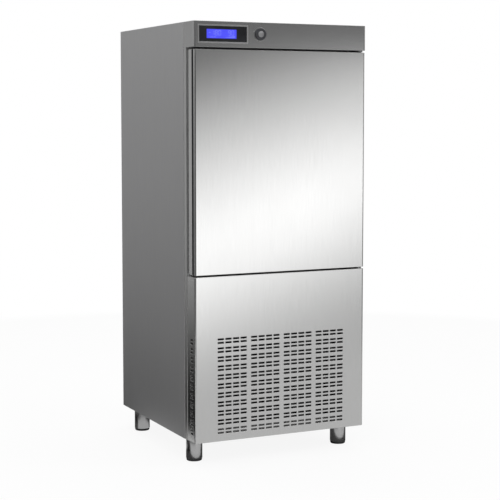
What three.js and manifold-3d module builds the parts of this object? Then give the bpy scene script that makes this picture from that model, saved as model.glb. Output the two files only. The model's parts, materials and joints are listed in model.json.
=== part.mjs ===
// Upright blast chiller for ten trays: an insulated stainless cabinet on four legs, with a control
// head on top, a right-hung door below it and a slotted cover over the refrigeration unit.
// Millimetres, +Z up. Origin on the floor, in the middle of the footprint, front towards -Y.
// Inside the product group, y is the depth behind the front face of the head, door and cover.

import * as THREE from "three";
import { mergeVertices } from "three/addons/utils/BufferGeometryUtils.js";
import Module from "manifold-3d";

// ---------------------------------------------------------------- driving dimensions
// Whole machine
const WIDTH = 790; // over the side panels and the head
const DEPTH = 830; // front face to back face, without the knob
const HEIGHT = 1805;
const LEG_HEIGHT = 100; // floor to the underside of the body
const KNOB_REACH = 10; // how far the knob stands out of the front face

// Sheet metal and clearances
const SHEET = 1.2; // outer skins
const LINER_SHEET = 1; // chamber liner
const GAP = 0.3; // between pieces that seat on each other
const WALL = 60; // insulated wall, outer face to chamber

// Front: head, door, cover
const HEAD_HEIGHT = 103;
const HEAD_EDGE_RADIUS = 10;
const DOOR_HEIGHT = 906;
const DOOR_THICKNESS = 58;
const DOOR_TOP_GAP = 9;
const COVER_GAP = 8; // between the door and the cover below it
const DOOR_INSET = 3; // door and cover are narrower than the head, each side
const DOOR_EDGE_RADIUS = 8;
const FRONT_RETURN = 70; // folded edge of the cover and head at top and bottom
const FRAME_DEPTH = 24; // the portal that the door closes on
const FRAME_SILL = 45; // rail under the machine bay's window
const FRAME_RAIL = 40; // rail over the machine bay's window
const FRAME_LIP = 20; // round the window for the wiring behind the head

// Grip recess down the free edge of the door
const GRIP_FRONT = 9; // thickness of the lip that the fingers pull
const GRIP_WIDTH = 19;
const GRIP_DEPTH = 24;
const GRIP_LINING = 1.5;

// Door lining and seal
const LINING = 2; // moulded inner door panel
const PLUG_HEIGHT = 13; // raised middle of the inner door panel
const PLUG_SETBACK = 36; // plug edge to chamber wall
const PLUG_CHAMFER = 8;
const SEAL_DEPTH = 22; // door to frame, filled by the seal
const SEAL_WIDTH = 28;
const SEAL_BELLOWS = 14;
const SEAL_FOOT = 4;
const SEAL_HEAD = 6;
const SEAL_EDGE = 3; // seal to the hinge axis, and the same on the free side

// Hinges
const HINGE_INSET = 14; // axis to the door's side
const HINGE_SETBACK = 26; // axis behind the front face
const HINGE_PLATE = 5;
const HINGE_PIN_RADIUS = 6;
const HINGE_PIN_LENGTH = 28;
const HINGE_SEAT = 0.3; // bracket plate to the cover below it, or to the head above it
const HINGE_FLANGE = 60; // leg of the bracket that is screwed to the frame
const BUSH_RADIUS = 9;
const BUSH_COLLAR_RADIUS = 13;
const BUSH_CLEARANCE = 0.2;

// Slotted grille in the cover: groups of columns, and clusters of slots down each column
const SLOT_WIDTH = 27.3;
const COLUMN_PITCH = 34.3;
const COLUMNS_PER_GROUP = 4;
const GROUPS = 4;
const GROUP_PITCH = 151;
const SLOTS_PER_CLUSTER = 2;
const SLOT_HEIGHT = 8;
const SLOT_PITCH = 14.5;
const CLUSTER_PITCH = 37.2;
const CLUSTERS = 11;
const GRILLE_BOTTOM = 131; // above the floor
const SIDE_VENT_DEPTH = 35; // middle of the vent column in each side of the cover

// Control head
const WINDOW_WIDTH = 210;
const WINDOW_HEIGHT = 62;
const WINDOW_FROM_LEFT = 129; // its middle, from the left side of the head
const WINDOW_BELOW_TOP = 50;
const BEZEL_BORDER = 6;
const BEZEL_THICKNESS = 1.5;
const LCD_WIDTH = 131;
const LCD_HEIGHT = 36;
const LCD_FROM_LEFT = 122.5;
const LCD_MODULE_BORDER = 8;
const LCD_MODULE_DEPTH = 8;
const BOARD_SETBACK = 14;
const BOARD_THICKNESS = 1.6;
const BOARD_BORDER = 8;
const KNOB_FROM_LEFT = 295;
const KNOB_BELOW_TOP = 47.5;
const KNOB_RADIUS = 25;
const KNOB_CAP_RADIUS = 12.5;
const KNOB_CAP_THICKNESS = 1.5;
const KNOB_WEB = 1.5; // between the cap's seat and the spindle's bore
const KNOB_SHOULDER = 2;
const KNOB_FLUTE_RADIUS = 1.6;
const KNOB_TRAVEL = 1.5;
const KNOB_FLUTES = 12;
const SPINDLE_RADIUS = 3;
const NUT_RADIUS = 8;
const NUT_THICKNESS = 1.2;

// Legs
const LEG_RADIUS = 34;
const LEG_WALL = 2;
const LEG_FROM_SIDE = 53;
const FRONT_LEG_DEPTH = 129;
const REAR_LEG_FROM_BACK = 102;
const LEG_STUD_RADIUS = 6;
const LEG_STUD_LENGTH = 16;
const FOOT_HEIGHT = 10;
const FOOT_RADIUS = 32;
const FOOT_HEEL = 3; // chamfer round the pad's underside
const FOOT_STEM_RADIUS = 8;
const FOOT_STEM_LENGTH = 80;
const LEG_PLUG_HEIGHT = 54; // threaded plug in the top of the tube

// Chamber fittings
const COVE_RADIUS = 16; // rounded corners of the liner
const RUNNERS = 10;
const RUNNER_PITCH = 70;
const FIRST_RUNNER = 56; // above the chamber floor
const RACK_SPACE = 35; // chamber wall to the edge of a tray
const TRAY_DEPTH = 400;
const RUNNER_OVERLAP = 15; // how far a tray rests on its runner
const RUNNER_SHEET = 2;
const RUNNER_LIP = 12;
const POST_SIZE = 12;
const RACK_SETBACK = 30; // runner's front end behind the frame's front face
const TRAY_GUARD = 5; // tray's edge to the upright leg of its runner
const COWL_DEPTH = 195; // fan cowl, from the chamber's back wall
const COWL_SIDE_GAP = 35;
const COWL_END_GAP = 20;
const COWL_SHEET = 1.5;
const COWL_SLOTS = 5;
const FAN_SHAFT_RADIUS = 5;
const FAN_RUNNING_GAP = 6; // rotor to what stands in front of and behind it
const EVAPORATOR_FAN_RADIUS = 122;
const EVAPORATOR_HUB = 34;
const EVAPORATOR_HUB_HEIGHT = 30;
const EVAPORATOR_THICKNESS = 76;
const EVAPORATOR_END_GAP = 34;

// Refrigeration unit
const CONDENSER_FROM_SIDE = 115;
const CONDENSER_HEIGHT = 400;
const CONDENSER_THICKNESS = 62;
const CONDENSER_SETBACK = 14; // behind the portal
const CONDENSER_FAN_RADIUS = 145;
const CONDENSER_HUB = 42;
const CONDENSER_HUB_HEIGHT = 32;
const CONDENSER_FAN_BLADES = 5;
const SHROUD_DEPTH = 34;
const TUBE_PLATE = 3;
const FIN_PITCH = 28;
const COMPRESSOR_RADIUS = 106;
const COMPRESSOR_HEIGHT = 290;
const COMPRESSOR_FROM_SIDE = 225;
const COMPRESSOR_FROM_BACK = 270;
const MOUNT_HEIGHT = 26; // rubber buffers under the compressor
const MOUNT_RAIL = 30;
const RECEIVER_RADIUS = 55;
const RECEIVER_HEIGHT = 240;
const RECEIVER_NECK = 12;
const RECEIVER_FROM_SIDE = 165;
const RECEIVER_FROM_BACK = 390;
const DRIER_RADIUS = 21;
const DRIER_HEIGHT = 130;
const PIPE_RADIUS = 6;
const SUCTION_PIPE_RADIUS = 10;
const RETURN_BEND_RADIUS = 5;
const RISER_FROM_SIDE = 195; // the liquid pipe; the suction pipe rises beside it
const RISER_PITCH = 50;
const RISER_FROM_BACK = 45;
const RISER_CLEARANCE = 1;
const PAN_HEIGHT = 40;
const TRAY_HEIGHT = 42; // condensate tray on the base pan
const TRAY_FROM_SIDE = 85;
const TRAY_LENGTH = 265;
const TRAY_BREADTH = 240;
const TRAY_FROM_BACK = 30;
const INLET_FROM_SIDE = 145; // cable gland in the base pan
const INLET_FROM_BACK = 40;
const GLAND_THREAD = 12;
const GLAND_WRENCH = 17;
const BOX_WIDTH = 320; // switchgear box behind the head
const BOX_DEPTH = 240;
const BOX_HEIGHT = 78;
const BOX_SETBACK = 30;

// ---------------------------------------------------------------- derived places
const HALF_WIDTH = WIDTH / 2;
const FRONT_Y = -(DEPTH - KNOB_REACH) / 2; // keeps the origin in the middle of the footprint
const HEAD_BOTTOM = HEIGHT - HEAD_HEIGHT;
const DOOR_TOP = HEAD_BOTTOM - DOOR_TOP_GAP;
const DOOR_BOTTOM = DOOR_TOP - DOOR_HEIGHT;
const COVER_TOP = DOOR_BOTTOM - COVER_GAP;
const DOOR_HALF = HALF_WIDTH - DOOR_INSET;
const FRAME_FRONT = DOOR_THICKNESS + SEAL_DEPTH;
const FRAME_BACK = FRAME_FRONT + FRAME_DEPTH;
const INNER_HALF = HALF_WIDTH - SHEET - GAP; // what fits inside the side panels
const INNER_FRONT = FRAME_BACK + SHEET + 2 * GAP; // behind the side panels' front folds
const INNER_BACK = DEPTH - SHEET - GAP;
const CHAMBER_HALF = HALF_WIDTH - WALL;
const TRAY_HALF = CHAMBER_HALF - RACK_SPACE; // 600 x 400 mm trays in this chamber
const CHAMBER_BOTTOM = DOOR_BOTTOM + WALL;
const CHAMBER_TOP = DOOR_TOP - WALL;
const CHAMBER_BACK = DEPTH - WALL;
const HINGE_X = DOOR_HALF - HINGE_INSET;
const SEAL_HALF = HINGE_X - SEAL_EDGE;
const SEAL_INSET = DOOR_HALF - SEAL_HALF;
const PAN_FLOOR = LEG_HEIGHT + SHEET; // top of the base pan's sheet
const COWL_FRONT = CHAMBER_BACK - COWL_DEPTH;
const COWL_HALF = CHAMBER_HALF - COWL_SIDE_GAP;
const CHAMBER_MIDDLE = (CHAMBER_BOTTOM + CHAMBER_TOP) / 2;
const FAN_SPREAD = (CHAMBER_TOP - CHAMBER_BOTTOM) / 4; // fans above and below the middle
const SLOT_AREA_HEIGHT = (CLUSTERS - 1) * CLUSTER_PITCH + (SLOTS_PER_CLUSTER - 1) * SLOT_PITCH + SLOT_HEIGHT;
const CONDENSER_Z = GRILLE_BOTTOM + SLOT_AREA_HEIGHT / 2; // the coil is centred behind the grille
const CONDENSER_FRONT = INNER_FRONT + CONDENSER_SETBACK;
const CONDENSER_WIDTH = 2 * (HALF_WIDTH - CONDENSER_FROM_SIDE);
const SHROUD_FRONT = CONDENSER_FRONT + CONDENSER_THICKNESS + GAP;
const COMPRESSOR_AT = { x: HALF_WIDTH - COMPRESSOR_FROM_SIDE, y: DEPTH - COMPRESSOR_FROM_BACK };
const RECEIVER_AT = { x: RECEIVER_FROM_SIDE - HALF_WIDTH, y: DEPTH - RECEIVER_FROM_BACK };
const INLET = { x: HALF_WIDTH - INLET_FROM_SIDE, y: DEPTH - INLET_FROM_BACK };

// ---------------------------------------------------------------- materials
const steel = (color, roughness) => new THREE.MeshStandardMaterial({ color, roughness, metalness: 1 });
const plastic = (color, roughness) => new THREE.MeshStandardMaterial({ color, roughness, metalness: 0 });

const brushedSteel = () => steel(0xb9bbb9, 0.3);
const satinSteel = () => steel(0x9a9c9b, 0.4);
const galvanised = () => steel(0x9ea3a6, 0.55);
const aluminium = () => steel(0xc4c7c9, 0.45);
const copper = () => steel(0xb4693e, 0.35);
const blackEnamel = () => plastic(0x1b1c1e, 0.35);
const blackPlastic = () => plastic(0x26272a, 0.5);
const greyPlastic = () => plastic(0x8d9194, 0.5);
const rubber = () => plastic(0x202123, 0.85);
const foam = () => plastic(0xe3d7a6, 0.9);
const blackGlass = () => plastic(0x08080a, 0.08);
const blueLcd = () => plastic(0x3a3ce0, 0.25);
const greenBoard = () => plastic(0x1f5a38, 0.6);

// ---------------------------------------------------------------- solids
const wasm = await Module();
wasm.setup();

// A three.js geometry as a solid: shared corners merged, collapsed triangles dropped.
function solid(geometry) {
  geometry.deleteAttribute("normal");
  geometry.deleteAttribute("uv");
  const merged = mergeVertices(geometry, 1e-4);
  const corners = merged.index.array;
  const kept = [];
  for (let i = 0; i < corners.length; i += 3) {
    const [a, b, c] = [corners[i], corners[i + 1], corners[i + 2]];
    if (a !== b && b !== c && c !== a) kept.push(a, b, c);
  }
  return new wasm.Manifold(
    new wasm.Mesh({
      numProp: 3,
      vertProperties: new Float32Array(merged.attributes.position.array),
      triVerts: new Uint32Array(kept),
    }),
  );
}

const join = (first, ...others) => others.reduce((sum, other) => sum.add(other), first);
const cut = (first, ...others) => others.reduce((rest, other) => rest.subtract(other), first);

function box(x0, x1, y0, y1, z0, z1) {
  const geometry = new THREE.BoxGeometry(x1 - x0, y1 - y0, z1 - z0);
  return solid(geometry.translate((x0 + x1) / 2, (y0 + y1) / 2, (z0 + z1) / 2));
}

// A plan outline (x, y) drawn up from z0 to z1.
function prism(shape, z0, z1, curveSegments = 3) {
  const geometry = new THREE.ExtrudeGeometry(shape, { depth: z1 - z0, bevelEnabled: false, curveSegments });
  return solid(geometry.translate(0, 0, z0));
}

// A front outline (x, z) drawn back from y0 to y1.
function plate(shape, y0, y1, curveSegments = 2) {
  const geometry = new THREE.ExtrudeGeometry(shape, { depth: y1 - y0, bevelEnabled: false, curveSegments });
  return solid(geometry.rotateX(Math.PI / 2).translate(0, y1, 0));
}

// A side outline (y, z) drawn across from x0 to x1.
function rib(shape, x0, x1) {
  const geometry = new THREE.ExtrudeGeometry(shape, { depth: x1 - x0, bevelEnabled: false });
  return solid(geometry.rotateZ(Math.PI / 2).rotateY(Math.PI / 2).translate(x0, 0, 0));
}

// A closed [radius, height] profile turned round the z axis at (x, y).
function turned(profile, x = 0, y = 0, sides = 16) {
  const points = profile.map(([radius, height]) => new THREE.Vector2(radius, height));
  if (THREE.ShapeUtils.area(points) < 0) points.reverse();
  points.push(points[0].clone());
  return solid(new THREE.LatheGeometry(points, sides).rotateX(Math.PI / 2).translate(x, y, 0));
}

const rod = (radius, z0, z1, x = 0, y = 0, sides = 12) =>
  turned([[0, z0], [radius, z0], [radius, z1], [0, z1]], x, y, sides);

// The same round the y axis: heights run back along y, at (x, z).
function turnedBack(profile, x, z, sides = 20) {
  const points = profile.map(([radius, depth]) => new THREE.Vector2(radius, depth));
  if (THREE.ShapeUtils.area(points) < 0) points.reverse();
  points.push(points[0].clone());
  return solid(new THREE.LatheGeometry(points, sides).translate(x, 0, z));
}

const rodBack = (radius, y0, y1, x, z, sides = 16) =>
  turnedBack([[0, y0], [radius, y0], [radius, y1], [0, y1]], x, z, sides);

// A round pipe through a few chosen points.
function pipe(points, radius, steps = 16, sides = 8) {
  const section = new THREE.Shape();
  for (let i = 0; i < sides; i++) {
    const angle = (i / sides) * 2 * Math.PI;
    const [x, y] = [radius * Math.cos(angle), radius * Math.sin(angle)];
    if (i) section.lineTo(x, y);
    else section.moveTo(x, y);
  }
  const stations = points.map((point) => new THREE.Vector3(...point));
  const route = new THREE.CatmullRomCurve3(stations, false, "centripetal");
  return solid(new THREE.ExtrudeGeometry(section, { steps, extrudePath: route, bevelEnabled: false }));
}

function rectangle(u0, u1, v0, v1) {
  return new THREE.Shape([
    new THREE.Vector2(u0, v0),
    new THREE.Vector2(u1, v0),
    new THREE.Vector2(u1, v1),
    new THREE.Vector2(u0, v1),
  ]);
}

function roundedRectangle(u0, u1, v0, v1, radius) {
  const shape = new THREE.Shape();
  shape.absarc(u1 - radius, v0 + radius, radius, -Math.PI / 2, 0, false);
  shape.absarc(u1 - radius, v1 - radius, radius, 0, Math.PI / 2, false);
  shape.absarc(u0 + radius, v1 - radius, radius, Math.PI / 2, Math.PI, false);
  shape.absarc(u0 + radius, v0 + radius, radius, Math.PI, 1.5 * Math.PI, false);
  return shape;
}

// Plan outline of a front piece: square at the back, its two front edges rounded.
function frontOutline(half, depth, radius, inset) {
  const inner = radius - inset;
  const shape = new THREE.Shape();
  shape.moveTo(half - inset, depth);
  shape.lineTo(-half + inset, depth);
  shape.absarc(-half + radius, radius, inner, Math.PI, 1.5 * Math.PI, false);
  shape.absarc(half - radius, radius, inner, -Math.PI / 2, 0, false);
  return shape;
}

// A folded front skin, open at the back, with its edges returned inwards at top and bottom.
function frontSkin(half, depth, radius, z0, z1, returned) {
  const outside = prism(frontOutline(half, depth, radius, 0), z0, z1);
  const inside = prism(frontOutline(half, depth + 1, radius, SHEET), z0 + SHEET, z1 - SHEET);
  const mouth = box(-half + SHEET, half - SHEET, returned, depth + 1, z0 - 1, z1 + 1);
  return cut(outside, inside, mouth);
}

function piece(name, shape, material, place = [0, 0, 0]) {
  const { vertProperties, triVerts, numProp } = shape.getMesh();
  const positions = new Float32Array((vertProperties.length / numProp) * 3);
  for (let i = 0; i < positions.length / 3; i++) {
    positions.set(vertProperties.subarray(i * numProp, i * numProp + 3), i * 3);
  }
  const geometry = new THREE.BufferGeometry();
  geometry.setAttribute("position", new THREE.BufferAttribute(positions, 3));
  geometry.setIndex(new THREE.BufferAttribute(triVerts, 1));
  geometry.computeVertexNormals();
  const mesh = new THREE.Mesh(geometry, material);
  mesh.name = name;
  mesh.position.set(...place);
  return mesh;
}

function group(...children) {
  const holder = new THREE.Group();
  holder.add(...children);
  return holder;
}

// ---------------------------------------------------------------- cabinet
// Where the suction and liquid pipes rise from the machine bay into the chamber.
const RISER_X = RISER_FROM_SIDE - HALF_WIDTH;
const RISER_Y = CHAMBER_BACK - RISER_FROM_BACK;
const RISERS = [
  { x: RISER_X, y: RISER_Y, radius: PIPE_RADIUS },
  { x: RISER_X + RISER_PITCH, y: RISER_Y, radius: SUCTION_PIPE_RADIUS },
];

function riserHoles(z0, z1) {
  return RISERS.map(({ x, y, radius }) => rod(radius + RISER_CLEARANCE, z0, z1, x, y));
}

function sidePanel(name, side) {
  const fold = 22;
  const top = HEIGHT - SHEET - GAP;
  const wall = box(-HALF_WIDTH, -HALF_WIDTH + SHEET, FRAME_BACK + GAP, INNER_BACK, LEG_HEIGHT, top);
  const foldFront = FRAME_BACK + GAP;
  const front = box(-HALF_WIDTH, -HALF_WIDTH + fold, foldFront, foldFront + SHEET, LEG_HEIGHT, top);
  const sheet = join(wall, front);
  return piece(name, side < 0 ? sheet : sheet.mirror([1, 0, 0]), satinSteel());
}

// Back of the insulated part, folded forward under the foam as the ceiling of the machine bay.
function backPanel() {
  const fold = DOOR_BOTTOM - GAP - SHEET;
  const sheet = box(-HALF_WIDTH, HALF_WIDTH, DEPTH - SHEET, DEPTH, fold, HEIGHT - SHEET - GAP);
  const ceiling = box(-INNER_HALF, INNER_HALF, INNER_FRONT, DEPTH, fold, fold + SHEET);
  return piece("back_panel", cut(join(sheet, ceiling), ...riserHoles(fold - 1, DOOR_BOTTOM)), galvanised());
}

// Back of the machine bay: a sheet with hooded louvres that let the condenser's warm air out.
function rearServiceCover() {
  const rows = 6;
  const columns = 2;
  const louvreWidth = 230;
  const louvreHeight = 16;
  const rowPitch = 55;
  const columnPitch = 300;
  const hoodDepth = 9;
  const middle = (LEG_HEIGHT + DOOR_BOTTOM) / 2;
  let cover = box(-HALF_WIDTH, HALF_WIDTH, DEPTH - SHEET, DEPTH, LEG_HEIGHT, DOOR_BOTTOM - SHEET - 2 * GAP);
  for (let column = 0; column < columns; column++) {
    for (let row = 0; row < rows; row++) {
      const x = (column - (columns - 1) / 2) * columnPitch;
      const z = middle + (row - (rows - 1) / 2) * rowPitch;
      const [x0, x1] = [x - louvreWidth / 2, x + louvreWidth / 2];
      const hood = new THREE.Shape([
        new THREE.Vector2(DEPTH - SHEET / 2, z + louvreHeight),
        new THREE.Vector2(DEPTH - SHEET - hoodDepth, z),
        new THREE.Vector2(DEPTH - SHEET - hoodDepth + SHEET, z),
        new THREE.Vector2(DEPTH - SHEET / 2, z + louvreHeight - 2 * SHEET),
      ]);
      cover = cut(cover, box(x0, x1, DEPTH - 2 * SHEET, DEPTH + 1, z, z + louvreHeight - 2 * SHEET));
      cover = join(cover, rib(hood, x0 - SHEET, x1 + SHEET));
    }
  }
  return piece("rear_service_cover", cover, galvanised());
}

function topPanel() {
  const lip = 20;
  const lid = box(-HALF_WIDTH, HALF_WIDTH, FRAME_BACK + GAP, DEPTH, HEIGHT - SHEET, HEIGHT);
  const lips = [-1, 1].map((side) => {
    const [x0, x1] = side < 0 ? [-INNER_HALF, -INNER_HALF + SHEET] : [INNER_HALF - SHEET, INNER_HALF];
    return box(x0, x1, INNER_FRONT, INNER_BACK, HEIGHT - lip, HEIGHT - SHEET / 2);
  });
  return piece("top_panel", join(lid, ...lips), satinSteel());
}

// Shallow pan that carries the refrigeration unit and takes the four leg studs.
function basePan() {
  const tray = cut(
    box(-INNER_HALF, INNER_HALF, INNER_FRONT, INNER_BACK, LEG_HEIGHT, LEG_HEIGHT + PAN_HEIGHT),
    box(-INNER_HALF + SHEET, INNER_HALF - SHEET, INNER_FRONT + SHEET, INNER_BACK - SHEET, PAN_FLOOR, HEIGHT),
  );
  const holes = legPlaces().map(([, x, y]) => rod(LEG_STUD_RADIUS + 2 * GAP, 0, HEIGHT, x, y, 12));
  const inlet = rod(GLAND_THREAD + 2 * GAP, 0, HEIGHT, INLET.x, INLET.y, 12);
  return piece("base_pan", cut(tray, inlet, ...holes), galvanised());
}

// The portal: two full-height stiles and the rails between them, with a window each for the
// chamber, the machine bay and the wiring behind the head.
function frontFrame() {
  const top = HEIGHT - SHEET - GAP;
  const clear = LINER_SHEET + GAP;
  const chamber = roundedRectangle(
    -CHAMBER_HALF - clear,
    CHAMBER_HALF + clear,
    CHAMBER_BOTTOM - clear,
    CHAMBER_TOP + clear,
    COVE_RADIUS + clear,
  );
  const bay = rectangle(-CHAMBER_HALF, CHAMBER_HALF, LEG_HEIGHT + FRAME_SILL, DOOR_BOTTOM - FRAME_RAIL);
  const wiring = rectangle(-CHAMBER_HALF, CHAMBER_HALF, HEAD_BOTTOM + FRAME_LIP, top - FRAME_LIP);
  const outline = rectangle(-INNER_HALF, INNER_HALF, LEG_HEIGHT, top);
  outline.holes = [chamber, bay, wiring];
  return piece("front_frame", plate(outline, FRAME_FRONT, FRAME_BACK), brushedSteel());
}

function chamberOutline(grown) {
  return roundedRectangle(
    -CHAMBER_HALF - grown,
    CHAMBER_HALF + grown,
    CHAMBER_BOTTOM - grown,
    CHAMBER_TOP + grown,
    COVE_RADIUS + grown,
  );
}

function innerLiner() {
  const outside = plate(chamberOutline(LINER_SHEET), FRAME_FRONT, CHAMBER_BACK + LINER_SHEET);
  const inside = plate(chamberOutline(0), FRAME_FRONT - 1, CHAMBER_BACK);
  const holes = riserHoles(CHAMBER_BOTTOM - 2 * LINER_SHEET, CHAMBER_BOTTOM + LINER_SHEET);
  return piece("inner_liner", cut(outside, inside, ...holes), brushedSteel());
}

function cabinetFoam() {
  const block = box(-INNER_HALF, INNER_HALF, INNER_FRONT, INNER_BACK, DOOR_BOTTOM, DOOR_TOP);
  const clear = LINER_SHEET + GAP;
  const hollow = plate(chamberOutline(clear), INNER_FRONT - 1, CHAMBER_BACK + clear);
  return piece("cabinet_foam", cut(block, hollow, ...riserHoles(DOOR_BOTTOM - 1, CHAMBER_BOTTOM)), foam());
}

function cabinet() {
  return group(
    sidePanel("side_panel_left", -1),
    sidePanel("side_panel_right", 1),
    backPanel(),
    rearServiceCover(),
    topPanel(),
    basePan(),
    frontFrame(),
    innerLiner(),
    cabinetFoam(),
  );
}

// ---------------------------------------------------------------- legs
function legPlaces() {
  const x = HALF_WIDTH - LEG_FROM_SIDE;
  return [
    ["front_left", -x, FRONT_LEG_DEPTH],
    ["front_right", x, FRONT_LEG_DEPTH],
    ["rear_left", -x, DEPTH - REAR_LEG_FROM_BACK],
    ["rear_right", x, DEPTH - REAR_LEG_FROM_BACK],
  ];
}

// Steel tube with a stud on top and a threaded plug inside, and the foot that screws out of it.
function legs() {
  const top = LEG_HEIGHT - GAP;
  const bottom = FOOT_HEIGHT + GAP;
  const bore = FOOT_STEM_RADIUS + GAP;
  const tube = turned([
    [LEG_RADIUS, bottom],
    [LEG_RADIUS, top],
    [LEG_STUD_RADIUS, top],
    [LEG_STUD_RADIUS, top + LEG_STUD_LENGTH],
    [0, top + LEG_STUD_LENGTH],
    [0, top - LEG_WALL],
    [bore, top - LEG_WALL],
    [bore, top - LEG_PLUG_HEIGHT],
    [LEG_RADIUS - LEG_WALL, top - LEG_PLUG_HEIGHT],
    [LEG_RADIUS - LEG_WALL, bottom],
  ]);
  const stemTop = FOOT_HEIGHT + FOOT_STEM_LENGTH;
  const foot = turned([
    [0, 0],
    [FOOT_RADIUS - FOOT_HEEL, 0],
    [FOOT_RADIUS, FOOT_HEEL],
    [LEG_RADIUS - LEG_WALL / 2, FOOT_HEIGHT - FOOT_HEEL],
    [LEG_RADIUS - LEG_WALL / 2, FOOT_HEIGHT],
    [FOOT_STEM_RADIUS, FOOT_HEIGHT],
    [FOOT_STEM_RADIUS, stemTop],
    [0, stemTop],
  ]);
  return group(
    ...legPlaces().flatMap(([place, x, y]) => [
      piece(`leg_${place}`, tube, brushedSteel(), [x, y, 0]),
      piece(`foot_${place}`, foot, rubber(), [x, y, 0]),
    ]),
  );
}

// ---------------------------------------------------------------- control head
const HEAD_LEFT = -HALF_WIDTH;
const WINDOW_X = HEAD_LEFT + WINDOW_FROM_LEFT;
const WINDOW_Z = HEIGHT - WINDOW_BELOW_TOP;
const LCD_X = HEAD_LEFT + LCD_FROM_LEFT;
const KNOB_X = HEAD_LEFT + KNOB_FROM_LEFT;
const KNOB_Z = HEIGHT - KNOB_BELOW_TOP;
const BUSHING_RADIUS = SPINDLE_RADIUS + 2;
const GLASS_FRONT = -BEZEL_THICKNESS;
const GLASS_BACK = SHEET;

const around = (x, z, width, height, grown = 0) =>
  rectangle(x - width / 2 - grown, x + width / 2 + grown, z - height / 2 - grown, z + height / 2 + grown);

function controlFascia() {
  const skin = frontSkin(HALF_WIDTH, FRAME_BACK, HEAD_EDGE_RADIUS, HEAD_BOTTOM, HEIGHT, FRONT_RETURN);
  const inside = HALF_WIDTH - SHEET;
  const lid = box(-inside, inside, FRONT_RETURN - 1, FRAME_BACK, HEIGHT - SHEET, HEIGHT);
  const window = plate(around(WINDOW_X, WINDOW_Z, WINDOW_WIDTH, WINDOW_HEIGHT, GAP), -1, 2 * SHEET);
  const spindle = rodBack(BUSHING_RADIUS + GAP, -1, 2 * SHEET, KNOB_X, KNOB_Z);
  return piece("control_fascia", cut(join(skin, lid), window, spindle), brushedSteel());
}

function display() {
  const bezel = around(WINDOW_X, WINDOW_Z, WINDOW_WIDTH, WINDOW_HEIGHT, BEZEL_BORDER);
  bezel.holes = [around(WINDOW_X, WINDOW_Z, WINDOW_WIDTH, WINDOW_HEIGHT, GAP)];
  const glass = around(WINDOW_X, WINDOW_Z, WINDOW_WIDTH, WINDOW_HEIGHT);
  glass.holes = [around(LCD_X, WINDOW_Z, LCD_WIDTH, LCD_HEIGHT, GAP)];
  const moduleFront = GLASS_BACK + GAP;
  const lcd = join(
    plate(around(LCD_X, WINDOW_Z, LCD_WIDTH, LCD_HEIGHT), GLASS_FRONT + GAP, moduleFront + 1),
    plate(
      around(LCD_X, WINDOW_Z, LCD_WIDTH, LCD_HEIGHT, LCD_MODULE_BORDER),
      moduleFront,
      moduleFront + LCD_MODULE_DEPTH,
    ),
  );
  return [
    piece("display_bezel", plate(bezel, -BEZEL_THICKNESS - GAP, -GAP), brushedSteel()),
    piece("display_window", plate(glass, GLASS_FRONT, GLASS_BACK), blackGlass()),
    piece("lcd_module", lcd, blueLcd()),
  ];
}

// Board behind the display, on four pillars that reach the fascia. It carries the relays and the
// selector's encoder, whose bushing and nut come through the fascia.
const SPINDLE_END = BOARD_SETBACK - GAP - 2; // bottom of the bore that the spindle slides in

function controlBoard() {
  const x0 = WINDOW_X - WINDOW_WIDTH / 2 - BOARD_BORDER;
  const x1 = KNOB_X + KNOB_RADIUS;
  const [z0, z1] = [WINDOW_Z - WINDOW_HEIGHT / 2 - BOARD_BORDER, WINDOW_Z + WINDOW_HEIGHT / 2 + BOARD_BORDER];
  const pillar = 3;
  const board = box(x0, x1, BOARD_SETBACK, BOARD_SETBACK + BOARD_THICKNESS, z0, z1);
  const pillars = [x0 + pillar, x1 - pillar].flatMap((x) =>
    [z0 + pillar, z1 - pillar].map((z) => rodBack(pillar, SHEET + GAP, BOARD_SETBACK + 1, x, z, 6)),
  );
  const relays = [0, 1, 2].map((i) => {
    const x = LCD_X + LCD_WIDTH / 2 + 12 + i * 22;
    return box(x, x + 16, BOARD_SETBACK + 1, BOARD_SETBACK + 14, WINDOW_Z - 14, WINDOW_Z + 14);
  });
  const bodyFront = SHEET + GAP + 2;
  const bore = SPINDLE_RADIUS + GAP;
  const encoder = turnedBack(
    [
      [bore, -GAP - NUT_THICKNESS],
      [NUT_RADIUS, -GAP - NUT_THICKNESS],
      [NUT_RADIUS, -GAP],
      [BUSHING_RADIUS, -GAP],
      [BUSHING_RADIUS, bodyFront],
      [NUT_RADIUS, bodyFront],
      [NUT_RADIUS, BOARD_SETBACK + 1],
      [0, BOARD_SETBACK + 1],
      [0, SPINDLE_END],
      [bore, SPINDLE_END],
    ],
    KNOB_X,
    KNOB_Z,
    12,
  );
  return piece("control_board", join(board, ...pillars, ...relays, encoder), greenBoard());
}

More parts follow.
